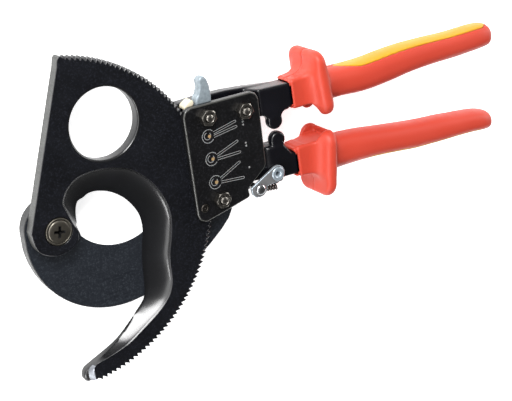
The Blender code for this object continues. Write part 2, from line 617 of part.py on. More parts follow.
def build_drive_pawl():
    body = [(81.6, -2.5), (82.0, -3.2), (83.2, -3.4), (88.6, 0.1)]
    body += circle(DRIVE_AXIS, 3.8, 14, -118.0, 250.0, ends=True)
    body += [(84.6, 2.6), (82.0, -0.2), (81.6, -1.6)]
    pawl = plate("drive_pawl", "zinc_steel", body, (-3.0, -0.2), [circle(DRIVE_AXIS, 2.15, 20)], 0.2)
    set_axis(pawl, DRIVE_AXIS)
    turned("drive_pawl_pin", "dark_steel", DRIVE_AXIS, (
        (0, -5.9), (1.9, -5.9), (1.9, -0.5), (1.6, -0.2), (0, -0.2)), 24)
    strip = ribbon(spline(((94.9, -2.6), (92.6, -4.6), (89.6, -4.4), (87.4, -1.5)), 5), 0.2)
    plate("drive_pawl_spring", "spring_steel", strip, (-2.7, -0.7))


def build_holding_pawl():
    body = [(80.4, 14.2), (80.8, 13.0), (82.0, 13.2), (88.8, 17.7)]
    body += circle(HOLD_AXIS, 3.7, 10, -62.0, 150.0, ends=True)
    body += [(85.3, 24.7), (84.7, 25.3), (84.6, 26.7), (83.2, 26.6), (82.6, 23.6), (83.2, 20.6), (80.6, 15.6)]
    pawl = plate("holding_pawl", "zinc_steel", body, (-6.0, -3.3), [circle(HOLD_AXIS, 2.15, 20)], 0.2)
    set_axis(pawl, HOLD_AXIS)
    turned("holding_pawl_pin", "dark_steel", HOLD_AXIS, (
        (0, -12.2), (1.9, -12.2), (1.9, -0.3), (1.6, 0.0), (0, 0.0)), 24)
    strip = ribbon(spline(((98.2, 27.6), (95.0, 25.4), (92.4, 20.0), (89.4, 16.6)), 5), 0.2)
    plate("holding_pawl_spring", "spring_steel", strip, (-5.7, -3.6))


def build_release_lever():
    lever = plate("release_lever", "zinc_steel", rounded(LEVER_ARM, 1.2, 2), (-5.0, 0.0),
                  [circle(LEVER_AXIS, BOLT_HOLE_R, 24)], 0.4)
    set_axis(lever, LEVER_AXIS)
    (ax, ay), (bx, by) = LEVER_TIP
    lean = math.degrees(math.atan2(by - ay, bx - ax))
    outline = circle((bx, by), LEVER_TIP_R, 12, lean - 90.0, 180.0, ends=True)
    outline += circle((ax, ay), LEVER_TIP_R, 12, lean + 90.0, 180.0, ends=True)
    tip = plate("lever_tip", "pale_plastic", outline, (-5.6, 0.0), bevel=0.5)
    set_axis(tip, LEVER_AXIS)


def coil(name, colour, start, end, radius, wire, turns, hooks):
    """A tension spring along X, with end hooks."""
    curve = bpy.data.curves.new(name, "CURVE")
    curve.dimensions = "3D"
    curve.bevel_depth = wire * MM
    curve.bevel_resolution = 1
    curve.use_fill_caps = True
    points = [hooks[0]]
    count = turns * 10
    for i in range(count + 1):
        t = i / count
        a = 2 * math.pi * turns * t
        points.append((start[0] + (end[0] - start[0]) * t,
                       start[1] + (end[1] - start[1]) * t + radius * math.cos(a),
                       start[2] + radius * math.sin(a)))
    points.append(hooks[1])
    line = curve.splines.new("POLY")
    line.points.add(len(points) - 1)
    for slot, point in zip(line.points, points):
        slot.co = (*place(*point), 1.0)
    source = bpy.data.objects.new(name + "_curve", curve)
    cutters.objects.link(source)
    bpy.context.view_layer.update()
    mesh = bpy.data.meshes.new_from_object(source.evaluated_get(bpy.context.evaluated_depsgraph_get()))
    bpy.data.objects.remove(source)
    bm = bmesh.new()
    bm.from_mesh(mesh)
    bmesh.ops.remove_doubles(bm, verts=bm.verts, dist=1e-6)
    return finish(bm, name, colour)


def build_latch():
    free = (105.4, -12.6)
    link = [(100.6, -11.0), (101.0, -14.4), (103.2, -16.8)]
    link += circle(free, 4.3, 10, 245.0, 85.0, ends=True)
    link += [(110.2, -12.3)]
    link += circle(LATCH_AXIS, 4.2, 14, -95.0, 207.0, ends=True)
    hole = circle(LATCH_AXIS, 2.3, 24)
    pin_hole = circle(free, 1.75, 20)
    plates = (("latch_plate_front", (1.85, 3.35)), ("latch_plate_rear", (-11.4, -9.9)))
    for name, levels in plates:
        set_axis(plate(name, "zinc_steel", link, levels, [hole, pin_hole], 0.3), LATCH_AXIS)
    pin = turned("latch_pin", "zinc_steel", free, (
        (0, -12.6), (2.0, -12.6), (2.4, -12.2), (2.4, -11.6), (1.5, -11.6), (1.5, 3.55), (2.9, 3.65), (2.9, 4.2),
        (2.1, 5.2), (1.0, 5.6), (0, 5.7)), 24)
    set_axis(pin, LATCH_AXIS)
    turned("latch_rivet", "zinc_steel", LATCH_AXIS, (
        (1.1, -12.4), (3.2, -12.4), (3.6, -12.1), (3.6, -11.6), (2.0, -11.6), (2.0, 3.5), (3.6, 3.5), (3.6, 3.8),
        (3.0, 4.3), (1.9, 4.3), (1.1, 3.8)), 28)
    coil("latch_spring", "spring_steel", (108.4, -15.7, -4.0), (119.4, -17.4, -4.0), 1.6, 0.4, 7,
         ((107.9, -13.2, -4.0), (120.6, -15.5, -4.0)))


def fresh_scene():
    for obj in list(bpy.data.objects):
        bpy.data.objects.remove(obj)


fresh_scene()
parts = bpy.data.collections.new("cable_cutter")
cutters = bpy.data.collections.new("cutters")
bpy.context.scene.collection.children.link(parts)
bpy.context.scene.collection.children.link(cutters)
materials = {
    "blade_steel": material("blade_steel", (0.012, 0.012, 0.015), 0.8, 0.35),
    "frame_steel": material("frame_steel", (0.035, 0.04, 0.05), 0.8, 0.45),
    "black_steel": material("black_steel", (0.012, 0.012, 0.014), 0.5, 0.4),
    "dark_steel": material("dark_steel", (0.19, 0.17, 0.14), 0.9, 0.38),
    "zinc_steel": material("zinc_steel", (0.5, 0.52, 0.55), 0.95, 0.3),
    "spring_steel": material("spring_steel", (0.08, 0.07, 0.07), 0.9, 0.35),
    "pale_plastic": material("pale_plastic", (0.78, 0.74, 0.62), 0.0, 0.5),
    "grip_red": material("grip_red", (0.8, 0.07, 0.045), 0.0, 0.42),
    "grip_yellow": material("grip_yellow", (0.92, 0.56, 0.04), 0.0, 0.42),
}

build_moving_blade()
build_fixed_blade()
build_pivot()
build_housing()
build_upper_handle()
build_lower_handle()
build_grips()
build_drive_pawl()
build_holding_pawl()
build_release_lever()
build_latch()
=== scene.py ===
"""Looks of the ratchet cable cutter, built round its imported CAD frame.

Lengths are in millimetres in the tool's own frame, until place() turns them into metres. X runs from the
blade pivot to the handle ends, Y towards the fixed handle, and Z out of the moving blade's front face. Pairs
named after a plate, such as COVER, are its lowest and highest Z.
"""
import math
from dataclasses import dataclass

import bmesh
import bpy
import numpy as np
from mathutils import Matrix, Vector


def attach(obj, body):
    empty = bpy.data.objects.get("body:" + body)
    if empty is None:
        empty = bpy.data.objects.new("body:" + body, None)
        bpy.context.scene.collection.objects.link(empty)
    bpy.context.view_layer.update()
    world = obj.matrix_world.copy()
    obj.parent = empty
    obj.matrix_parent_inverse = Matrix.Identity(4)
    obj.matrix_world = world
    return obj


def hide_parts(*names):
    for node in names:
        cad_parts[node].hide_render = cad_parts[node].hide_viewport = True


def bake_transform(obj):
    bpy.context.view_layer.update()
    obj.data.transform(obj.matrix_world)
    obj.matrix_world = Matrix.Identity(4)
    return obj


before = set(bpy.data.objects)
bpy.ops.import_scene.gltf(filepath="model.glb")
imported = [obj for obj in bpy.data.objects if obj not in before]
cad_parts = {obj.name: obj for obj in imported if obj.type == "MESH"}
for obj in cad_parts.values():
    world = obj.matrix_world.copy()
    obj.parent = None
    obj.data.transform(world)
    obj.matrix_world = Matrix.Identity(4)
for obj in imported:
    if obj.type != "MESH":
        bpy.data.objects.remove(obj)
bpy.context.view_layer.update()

MM = 0.001
ORIGIN = (123.33, -0.7, -18.0)

PIVOT = (0.0, 0.0)
HANDLE_AXIS = (103.0, 0.0)
DRIVE_AXIS = (90.5, 3.5)
HOLD_AXIS = (87.0, 21.0)
LATCH_AXIS = (116.6, -8.0)
LATCH_FREE = (105.4, -12.6)
BOLTS = {"a": (82.2, 32.0), "b": (102.4, 29.5), "c": (83.3, -10.5)}
BOLT_HOLE_R = 2.25
PIVOT_PIN_HOLE_R = 4.25
PAWL_PIN_HOLE_R = 2.15

COVER = (0.4, 3.4)
BLADE = (-6.0, 0.0)
FRAME = (-12.3, -6.3)
REAR = (-15.4, -12.6)
HANDLE_BAR = (-9.5, 1.5)
HANDLE_MID = -4.0

# Toothed rim: radii in millimetres, angles in degrees
TIP_R = 80.9
ROOT_R = 79.3
TOOTH_PITCH = 1.83
FIRST_TOOTH = -86.6
LAST_TOOTH = 78.0

WINDOW = (31.7, 43.0)
WINDOW_R = 17.1
WINDOW_CHAMFER = 1.2
BUSH_HOLE_R = 6.85

# Moving blade: the bevel's border on the front face, and the cutting edge behind it
MOVING_BEVEL = (
    ((9.4, -2.5), (11.5, -1.2)), ((7.5, 2.0), (11.7, 1.6)), ((5.5, 8.0), (12.1, 4.4)),
    ((4.5, 12.0), (12.8, 6.9)), ((6.0, 16.0), (14.2, 9.0)), ((9.0, 19.5), (17.0, 9.8)),
    ((14.0, 22.3), (19.5, 10.8)),
    ((20.0, 23.0), (22.0, 11.0)), ((27.0, 22.5), (25.0, 10.5)), ((33.0, 21.0), (29.0, 9.0)),
    ((40.0, 18.0), (33.0, 6.6)), ((47.0, 12.0), (37.0, 3.0)), ((52.0, 5.0), (40.5, -1.8)),
    ((55.5, -3.0), (43.0, -7.0)), ((56.8, -10.0), (43.8, -12.0)), ((56.5, -16.0), (43.5, -17.0)),
    ((55.0, -23.0), (42.2, -22.5)), ((53.0, -30.0), (41.0, -28.5)), ((52.3, -35.0), (40.2, -34.5)),
    ((52.0, -41.0), (39.7, -41.0)), ((51.3, -46.0), (39.0, -46.5)), ((49.0, -51.0), (37.8, -50.3)),
    ((45.0, -55.0), (35.5, -53.0)), ((40.0, -58.5), (32.5, -55.6)), ((33.0, -62.5), (28.5, -59.1)),
    ((25.0, -66.8), (22.5, -63.7)), ((20.0, -68.5), (18.5, -66.2)), ((15.0, -69.8), (14.3, -68.0)),
    ((10.0, -70.7), (9.6, -69.8)), ((6.0, -71.4), (5.8, -71.2)), ((3.5, -73.0), (0.6, -73.4)),
    ((3.3, -74.8), (-0.9, -75.6)), ((3.3, -77.2), (-1.3, -78.0)), ((3.3, -79.4), (-0.2, -80.2)),
)
MOVING_LOBE = ((-13.2, 3.0), (-12.6, -3.0), (-10.5, -7.5), (-5.0, -10.8), (0.5, -11.4), (6.0, -9.8),
               (9.3, -6.3))
MOVING_CORNER = ((17.0, 79.2), (15.9, 78.9), (15.0, 77.6), (14.2, 74.6))

# Fixed blade: its round cutting edge and bevel, then the outline from the throat round to the shank
FIXED_EDGE_C = (34.0, 8.0)
FIXED_EDGE_R = 27.0
FIXED_BEVEL_R = 37.5
FIXED_ARC_C = (31.0, -4.3)
FIXED_ARC_R = 45.8
FIXED_LOBE_R = 14.5
FIXED_THROAT = ((12.5, -7.2), (11.7, -4.2), (11.2, -1.0), (11.1, 3.0), (10.6, 7.0), (9.2, 10.4))
FIXED_SHANK = ((38.0, -49.7), (50.0, -48.4), (62.0, -45.0), (72.0, -40.2), (79.0, -35.7), (86.0, -30.7),
               (91.0, -26.2), (93.6, -22.0), (94.0, -17.0), (94.0, 4.4), (92.0, 5.6), (61.4, 5.6))

FRONT_COVER = ((69.6, -14.8), (70.6, -18.0), (73.8, -19.6), (87.0, -17.3), (99.0, -14.9), (99.6, -13.6),
               (99.0, -10.6), (110.0, -2.6), (110.9, -0.8), (111.7, 32.6), (110.6, 35.9), (107.6, 37.2),
               (74.4, 38.7), (71.4, 37.6), (70.2, 34.8))
REAR_COVER = ((71.0, -15.6), (72.0, -17.4), (87.0, -17.3), (97.0, -14.9), (98.6, -10.6), (104.0, -8.2),
              (109.0, -5.6), (110.4, -1.0), (110.6, 32.0), (109.6, 34.8), (107.0, 35.8), (74.6, 36.3),
              (72.0, 35.4), (71.0, 33.0))
COVER_RIVET = (73.8, -12.3)
UPPER_TONGUE = ((70.6, 6.2), (92.4, 6.2), (94.8, 4.6), (95.1, -1.0), (97.2, -5.6), (101.0, -7.2),
                (105.2, -7.0), (108.8, -4.8), (110.4, -1.0), (111.2, 15.0), (112.8, 19.8), (117.0, 21.5),
                (126.0, 21.5), (126.0, 34.2), (112.0, 36.6), (100.0, 38.2), (86.0, 39.1), (74.0, 39.2),
                (71.4, 38.2), (70.6, 36.0))
UPPER_BAR = ((113.2, 21.4), (129.0, 21.6), (130.5, 22.6), (133.0, 23.4), (158.0, 22.4), (228.0, 22.8),
             (231.0, 23.8), (231.0, 27.2), (228.0, 28.2), (158.0, 29.2), (146.0, 32.4), (133.0, 33.8),
             (130.5, 34.8), (113.2, 36.5))
LOWER_EAR = ((86.6, 2.0), (88.0, -0.2), (92.0, -2.0), (99.0, -4.4), (99.0, 6.4), (93.0, 7.4), (89.2, 7.6),
             (86.8, 5.6))
LOWER_TONGUE = ((95.6, -4.6), (98.4, -7.6), (103.0, -8.8), (108.0, -9.6), (118.0, -11.6), (118.0, 5.5),
                (108.4, 6.6), (103.0, 8.6), (98.0, 7.0), (95.6, 4.4))
LOWER_BAR = ((113.6, -11.4), (121.6, -12.2), (128.6, -12.6), (133.0, -12.8), (158.0, -12.6), (180.0, -14.2),
             (222.0, -19.6), (225.0, -18.6), (225.6, -15.4), (180.0, -8.2), (158.0, -5.6), (133.0, -1.4),
             (127.8, -0.6), (123.6, 5.2), (113.6, 5.6))
LOWER_LUG = ((117.0, -14.6), (121.4, -14.9), (122.6, -13.8), (122.6, -10.5), (117.0, -10.5))
STOP_UPPER = (121.0, 17.7)
STOP_LOWER = (121.0, 8.0)
STOP_R = 4.2
STOP_WEB = ((114.6, 23.0), (116.6, 20.4), (118.4, 18.2), (123.6, 18.4), (125.6, 20.6), (127.4, 23.0))
STOP_Z = (-3.4, 1.2)

# Grip bodies behind the guards: x, centre y, half height, half depth
UPPER_BODY = (
    (146.0, 27.6, 9.2, 9.0), (151.6, 27.3, 8.6, 8.8), (155.0, 26.9, 8.1, 8.5), (162.0, 26.5, 7.9, 8.5),
    (172.0, 25.7, 8.2, 8.5), (181.0, 25.6, 8.3, 8.5), (193.0, 26.2, 8.3, 8.4), (203.0, 26.7, 7.9, 8.3),
    (213.0, 26.7, 7.5, 8.1), (223.0, 26.4, 7.2, 8.0), (233.0, 25.9, 7.0, 7.9), (243.0, 25.8, 6.9, 7.8),
    (251.0, 25.8, 6.8, 7.7), (256.0, 25.6, 6.4, 7.2), (258.8, 25.3, 5.8, 6.5), (261.4, 25.0, 4.1, 5.5),
)
LOWER_BODY = (
    (144.6, -9.6, 9.4, 9.0), (150.2, -9.4, 8.9, 8.8), (155.0, -9.4, 8.7, 8.5), (162.0, -9.8, 8.5, 8.5),
    (172.0, -10.7, 8.1, 8.5), (182.0, -12.1, 7.7, 8.5), (193.0, -13.8, 7.5, 8.4), (203.0, -15.4, 7.4, 8.3),
    (213.0, -16.5, 7.1, 8.1), (223.0, -17.4, 6.9, 8.0), (233.0, -18.4, 6.4, 7.9), (243.0, -19.5, 6.1, 7.8),
    (249.0, -20.5, 5.9, 7.6), (252.4, -21.2, 5.5, 7.0), (254.8, -21.8, 5.1, 6.4), (257.4, -22.5, 3.9, 5.5),
)
BODY_POWER = 2.4
INLAY_DEPTH = 1.6
# The radius at which angles across the inlay are turned into lengths
INLAY_R = 7.5

LEVER_AXIS = BOLTS["a"]
LEVER_ARM = ((85.2, 28.0), (85.2, 25.8), (87.0, 25.8), (87.4, 30.4), (88.2, 36.0), (88.6, 41.0), (88.3, 45.6),
             (87.4, 49.0), (85.9, 50.6), (84.0, 50.6), (82.6, 49.2), (82.6, 45.4), (81.4, 42.6), (80.2, 41.0),
             (79.5, 39.4), (79.2, 36.6), (78.3, 33.6), (78.3, 29.6), (81.0, 27.6))
LEVER_TIP = ((74.7, 38.1), (77.1, 39.5))
LEVER_TIP_R = 1.6

SOFT_ANGLE = math.radians(34.0)
# The largest share of an edge that a rounded corner may take
CORNER_SHARE = 0.45

materials = {}


# ---------------------------------------------------------------- outlines

def place(x, y, z):
    """Tool-frame millimetres to the row's metres."""
    return (x - ORIGIN[0]) * MM, (y - ORIGIN[1]) * MM, (z - ORIGIN[2]) * MM


def circle(centre, radius, sides=96, start=0.0, sweep=360.0, ends=False):
    """Points round a circle or an arc, anticlockwise."""
    angles = np.radians(start + sweep * np.arange(sides + (1 if ends else 0)) / sides)
    return [(centre[0] + radius * math.cos(a), centre[1] + radius * math.sin(a)) for a in angles]


def spline(values, steps):
    """Catmull-Rom through tuples of numbers."""
    rows = np.array([values[0]] + list(values) + [values[-1]], float)
    out = []
    for i in range(1, len(rows) - 2):
        a, b, c, d = rows[i - 1:i + 3]
        for k in range(steps):
            t = k / steps
            out.append(tuple(0.5 * (2 * b + (c - a) * t + (2 * a - 5 * b + 4 * c - d) * t ** 2
                                    + (3 * b - a - 3 * c + d) * t ** 3)))
    out.append(tuple(rows[-1]))
    return out


def bend(before, here, after, radius, steps, by_turn):
    """Round one corner. The curve starts radius away from it, or less at a blunt corner if by_turn."""
    corner = Vector(here)
    back = Vector(before) - corner
    ahead = Vector(after) - corner
    wanted = radius / math.tan(back.angle(ahead) / 2) if by_turn else radius
    reach = min(wanted, back.length * CORNER_SHARE, ahead.length * CORNER_SHARE)
    start = corner + back.normalized() * reach
    end = corner + ahead.normalized() * reach
    shares = [k / steps for k in range(steps + 1)]
    return [tuple(start * (1 - t) ** 2 + corner * 2 * t * (1 - t) + end * t ** 2) for t in shares]


def rounded(points, radius, steps=6):
    """Round each corner of a closed outline."""
    out = []
    for i, here in enumerate(points):
        out += bend(points[i - 1], here, points[(i + 1) % len(points)], radius, steps, True)
    return out


def soften(profile, radius, steps=3):
    """Round the corners of an open (radius, z) profile."""
    out = [profile[0]]
    for before, here, after in zip(profile, profile[1:], profile[2:]):
        out += bend(before, here, after, radius, steps, False)
    return out + [profile[-1]]


def directed(points, anticlockwise):
    """The same outline, run the way asked for."""
    p = np.array(points, float)
    area = np.sum(p[:, 0] * np.roll(p[:, 1], -1) - np.roll(p[:, 0], -1) * p[:, 1])
    return p if (area > 0) == anticlockwise else p[::-1]


def inset(points, amount):
    """Move an anticlockwise outline inwards, or a clockwise hole outwards."""
    edge = np.roll(points, -1, 0) - points
    length = np.maximum(np.linalg.norm(edge, axis=1, keepdims=True), 1e-9)
    normal = np.stack((edge[:, 1], -edge[:, 0]), 1) / length
    before = np.roll(normal, 1, 0)
    share = 1.0 + np.sum(normal * before, 1, keepdims=True)
    return points - (normal + before) / np.maximum(share, 0.6) * amount


# ---------------------------------------------------------------- meshes

def add_object(name, data):
    obj = bpy.data.objects.new(name, data)
    bpy.context.scene.collection.objects.link(obj)
    return obj


def as_mesh(bm, name):
    bmesh.ops.recalc_face_normals(bm, faces=bm.faces)
    mesh = bpy.data.meshes.new(name)
    bm.to_mesh(mesh)
    bm.free()
    return mesh


def declare(mesh, name, body, replaces, finishes):
    """Make a piece of a mesh. It rides on a body, and stands for the CAD nodes that it replaces."""
    obj = add_object(name, mesh)
    for item in finishes:
        mesh.materials.append(materials[item])
    if body:
        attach(obj, body)
    if replaces:
        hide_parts(*replaces)
    return obj


def finish(bm, name, body, replaces, finishes, angle=SOFT_ANGLE):
    mesh = as_mesh(bm, name)
    mesh.shade_smooth()
    mesh.set_sharp_from_angle(angle=angle)
    return declare(mesh, name, body, replaces, finishes)


def ring(bm, points, z):
    return [bm.verts.new(place(x, y, z)) for x, y in points]


def wall(bm, low, high, index=0):
    for i in range(len(low)):
        bm.faces.new((low[i - 1], low[i], high[i], high[i - 1])).material_index = index


def cap(bm, loops, index=0):
    """Fill a flat face between an outline and its holes, with a crisp boundary."""
    edges = []
    for loop in loops:
        for i, vert in enumerate(loop):
            edge = bm.edges.get((vert, loop[i - 1])) or bm.edges.new((vert, loop[i - 1]))
            edge.smooth = False
            edges.append(edge)
    made = bmesh.ops.triangle_fill(bm, use_beauty=True, use_dissolve=False, edges=edges)
    for item in made["geom"]:
        if isinstance(item, bmesh.types.BMFace):
            item.material_index = index


def quarter(radius, steps):
    """Steps in from a side and in from a face, round a rim."""
    turns = [math.pi / 2 * k / steps for k in range(steps + 1)]
    return [(radius * (1 - math.sin(a)), radius * (1 - math.cos(a))) for a in turns]


def add_slab(bm, outline, levels, holes=(), front=0.4, back=0.4, steps=4):
    """A plate with rounded rims: faces use material 0, rims 1 and sides 2."""
    loops = [directed(outline, True)] + [directed(hole, False) for hole in holes]
    profile = [(out, levels[0] + up) for out, up in quarter(back, steps)]
    profile += [(out, levels[1] - down) for down, out in quarter(front, steps)]
    lows, highs = [], []
    for loop in loops:
        rings = [ring(bm, inset(loop, amount), z) for amount, z in profile]
        for k in range(len(rings) - 1):
            wall(bm, rings[k], rings[k + 1], 2 if k == steps else 1)
        lows.append(rings[0])
        highs.append(rings[-1])
    cap(bm, lows)
    cap(bm, highs)


def slab(name, body, replaces, finishes, outline, levels, holes=(), front=0.4, back=0.4, steps=4):
    bm = bmesh.new()
    add_slab(bm, outline, levels, holes, front, back, steps)
    return finish(bm, name, body, replaces, finishes)


def add_lathe(bm, centre, profile, sides=72, index=0):
    """Turn a profile of (radius, z). It is a closed chain, or starts and ends on the axis."""
    rings = []
    for radius, z in profile:
        if radius == 0:
            rings.append([bm.verts.new(place(centre[0], centre[1], z))])
        else:
            rings.append(ring(bm, circle(centre, radius, sides), z))
    pairs = list(zip(rings, rings[1:]))
    if profile[0][0] != 0:
        pairs.append((rings[-1], rings[0]))
    for first, second in pairs:
        for i in range(sides):
            corners = [first[i - 1], first[i]] if len(first) > 1 else [first[0]]
            corners += [second[i], second[i - 1]] if len(second) > 1 else [second[0]]
            bm.faces.new(corners).material_index = index


def lathe(name, body, replaces, finishes, centre, profile):
    bm = bmesh.new()
    add_lathe(bm, centre, profile)
    return finish(bm, name, body, replaces, finishes)


def add_tube(bm, points, radius, sides=12):
    """A round wire along a line of points."""
    p = np.array(points, float)
    tangent = np.gradient(p, axis=0)
    tangent /= np.linalg.norm(tangent, axis=1, keepdims=True)
    side = np.cross(tangent[0], (0.3, 0.2, 0.9))
    rings = []
    for here, along in zip(p, tangent):
        side = side - along * np.dot(side, along)
        side /= np.linalg.norm(side)
        across = np.cross(along, side)
        loop = []
        for a in np.linspace(0, 2 * math.pi, sides, endpoint=False):
            x, y, z = here + radius * (math.cos(a) * side + math.sin(a) * across)
            loop.append(bm.verts.new(place(x, y, z)))
        rings.append(loop)
    for low, high in zip(rings, rings[1:]):
        wall(bm, low, high)
    bm.faces.new(rings[0])
    bm.faces.new(rings[-1][::-1])


# ---------------------------------------------------------------- smooth solids from distance fields

def outline_distance(points, x, y):
    """Signed distance from a closed outline, negative inside."""
    p = np.array(points, float)
    best = np.full(np.broadcast(x, y).shape, 1e9)
    inside = np.zeros(best.shape, bool)
    for (ax, ay), (bx, by) in zip(p, np.roll(p, -1, 0)):
        ex, ey = bx - ax, by - ay
        t = np.clip(((x - ax) * ex + (y - ay) * ey) / (ex * ex + ey * ey), 0.0, 1.0)
        best = np.minimum(best, (x - ax - t * ex) ** 2 + (y - ay - t * ey) ** 2)
        if ay != by:
            inside ^= ((ay > y) != (by > y)) & (x < ax + (y - ay) * ex / ey)
    return np.where(inside, -1.0, 1.0) * np.sqrt(best)


def crossed(a, b, rim):
    """Where two distances are both negative, with a rounded corner."""
    a = a + rim
    b = b + rim
    return np.minimum(np.maximum(a, b), 0.0) + np.hypot(np.maximum(a, 0.0), np.maximum(b, 0.0)) - rim


def extruded(flat, z, low, high, rim):
    """Extrude a flat distance between two levels, with a rounded rim."""
    return crossed(flat, np.abs(z - (low + high) / 2) - (high - low) / 2, rim)


def join(a, b, blend):
    """Union with a fillet."""
    h = np.maximum(blend - np.abs(a - b), 0.0) / blend
    return np.minimum(a, b) - h * h * blend / 4


def cut(a, b, blend):
    """a without b, with a rounded edge."""
    return -join(-a, b, blend)


def box_distance(u, v, half_u, half_v, corner):
    return crossed(np.abs(u) - half_u, np.abs(v) - half_v, corner)


def drilled(d, x, y, holes):
    """Take round holes through a solid."""
    for centre, radius in holes:
        d = np.maximum(d, radius - np.hypot(x - centre[0], y - centre[1]))
    return d


def eased(x, start, width, rise):
    """A step of a given rise with smooth ends."""
    share = np.clip((x - start) / width, 0.0, 1.0)
    return rise * share * share * (3 - 2 * share)


def stop_knob(centre, x, y, z):
    return extruded(np.hypot(x - centre[0], y - centre[1]) - STOP_R, z, *STOP_Z, 1.5)


def skin(field, low, high, step):
    """Quads over the zero level of a field of (x, y, z), by surface nets, moved onto the level."""
    axes = [np.arange(low[k], high[k] + step, step) for k in range(3)]
    values = field(axes[0][:, None, None], axes[1][None, :, None], axes[2][None, None, :])
    values = np.broadcast_to(values, tuple(len(a) for a in axes))
    cells = np.array(values.shape) - 1
    total = np.zeros((np.prod(cells), 3))
    count = np.zeros(np.prod(cells))
    quads = []
    for axis in range(3):
        turned = np.moveaxis(values, axis, 0)
        first, second = turned[:-1], turned[1:]
        where = np.argwhere((first < 0) != (second < 0))
        f0 = first[tuple(where.T)]
        f1 = second[tuple(where.T)]
        lattice = np.insert(where[:, 1:], axis, where[:, 0], axis=1)
        point = lattice.astype(float)
        point[:, axis] += f0 / (f0 - f1)
        around = []
        v, w = (axis + 1) % 3, (axis + 2) % 3
        for dv, dw in ((1, 1), (0, 1), (0, 0), (1, 0)):
            cell = lattice.copy()
            cell[:, v] -= dv
            cell[:, w] -= dw
            index = np.ravel_multi_index(tuple(cell.T), tuple(cells))
            around.append(index)
            count += np.bincount(index, minlength=len(count))
            for k in range(3):
                total[:, k] += np.bincount(index, point[:, k], minlength=len(count))
        quad = np.stack(around, 1)
        flip = f0 >= 0
        quad[flip] = quad[flip][:, ::-1]
        quads.append(quad)
    used = np.nonzero(count)[0]
    number = np.zeros(len(count), int)
    number[used] = np.arange(len(used))
    p = total[used] / count[used, None] * step + np.array([a[0] for a in axes])
    tiny = step * 0.05
    for _ in range(3):
        x, y, z = p.T
        f = field(x, y, z)
        ahead = (field(x + tiny, y, z), field(x, y + tiny, z), field(x, y, z + tiny))
        slope = np.stack([value - f for value in ahead], 1) / tiny
        move = slope * (f / np.maximum(np.sum(slope * slope, 1), 0.05))[:, None]
        length = np.linalg.norm(move, axis=1, keepdims=True)
        p = p - move * np.minimum(1.0, 0.5 * step / np.maximum(length, 1e-9))
    return p, number[np.concatenate(quads)]


def skinned(name, body, node, finish_name, field, low, high, step):
    """A piece whose surface is where a field of (x, y, z) is zero, in place of one CAD node."""
    p, quads = skin(field, low, high, step)
    mesh = bpy.data.meshes.new(name)
    mesh.from_pydata([place(*point) for point in p], [], quads.tolist())
    mesh.shade_smooth()
    return declare(mesh, name, body, [node], [finish_name])


# ---------------------------------------------------------------- materials

def feed(tree, socket, value):
    """Link another socket to this one, or set its value."""
    if isinstance(value, bpy.types.NodeSocket):
        tree.links.new(value, socket)
    else:
        socket.default_value = value


def add_node(tree, kind, operation=None, **inputs):
    made = tree.nodes.new(kind)
    if operation:
        made.operation = operation
    for key, value in inputs.items():
        feed(tree, made.inputs[key.replace("_", " ")], value)
    return made


class Finish:
    """A Principled material whose detail comes from nodes, in millimetres of object space."""

    def __init__(self, name, **constants):
        material = bpy.data.materials.new(name)
        material.use_nodes = True
        self.tree = material.node_tree
        self.shader = self.tree.nodes["Principled BSDF"]
        self.apply(**constants)
        self.object = self.node("ShaderNodeTexCoord").outputs["Object"]
        materials[name] = material

    def apply(self, **inputs):
        """Set or link inputs of the shader."""
        for key, value in inputs.items():
            feed(self.tree, self.shader.inputs[key.replace("_", " ")], value)

    def node(self, kind, operation=None, **inputs):
        return add_node(self.tree, kind, operation, **inputs)

    def grain(self, size, angle=0.0, **settings):
        """Noise whose features are size millimetres long along each axis, turned about Z."""
        turned = self.node("ShaderNodeVectorRotate", Vector=self.object, Angle=math.radians(angle))
        sizes = size if isinstance(size, tuple) else (size, size, size)
        scale = [1000.0 / length for length in sizes]
        made = self.node("ShaderNodeMapping", Vector=turned.outputs[0], Scale=scale)
        return self.noise(made.outputs[0], **settings)

    def round_about(self, centre, size):
        """Coordinates (radius, angle) about an axis along Z, for turned or ground marks."""
        x, y, _ = place(*centre, 0)
        moved = self.node("ShaderNodeMapping", Vector=self.object, Location=(-x, -y, 0)).outputs[0]
        split = self.node("ShaderNodeSeparateXYZ", Vector=moved).outputs
        length = self.node("ShaderNodeVectorMath", "LENGTH", Vector=moved)
        angle = self.node("ShaderNodeMath", "ARCTAN2")
        feed(self.tree, angle.inputs[0], split["Y"])
        feed(self.tree, angle.inputs[1], split["X"])
        joined = self.node("ShaderNodeCombineXYZ", X=length.outputs["Value"], Y=angle.outputs[0])
        scale = (1000.0 / size[0], size[1], 1.0)
        return self.node("ShaderNodeMapping", Vector=joined.outputs[0], Scale=scale).outputs[0]

    def noise(self, where, detail=4.0, roughness=0.55):
        made = self.node("ShaderNodeTexNoise", Vector=where, Scale=1.0, Detail=detail, Roughness=roughness)
        return made.outputs["Fac"]

    def spread(self, value, low, high):
        """Map a noise's usual range onto another."""
        limits = {"From_Min": 0.3, "From_Max": 0.7, "To_Min": low, "To_Max": high}
        return self.node("ShaderNodeMapRange", Value=value, **limits).outputs["Result"]

    def mix(self, factor, first, second):
        """Mix two colours, each a tuple or a socket."""
        made = self.tree.nodes.new("ShaderNodeMix")
        made.data_type = "RGBA"
        feed(self.tree, made.inputs[0], factor)
        for socket, value in zip(made.inputs[6:8], (first, second)):
            feed(self.tree, socket, (*value, 1.0) if isinstance(value, tuple) else value)
        return made.outputs[2]

    def bump(self, *layers):
        """Each layer is (height, depth in millimetres)."""
        below = {}
        for height, depth in layers:
            made = self.node("ShaderNodeBump", Height=height, Distance=depth * MM, Strength=1.0, **below)
            below = {"Normal": made.outputs[0]}
        self.apply(**below)


def tint(colour, amount):
    return tuple(c * amount for c in colour)


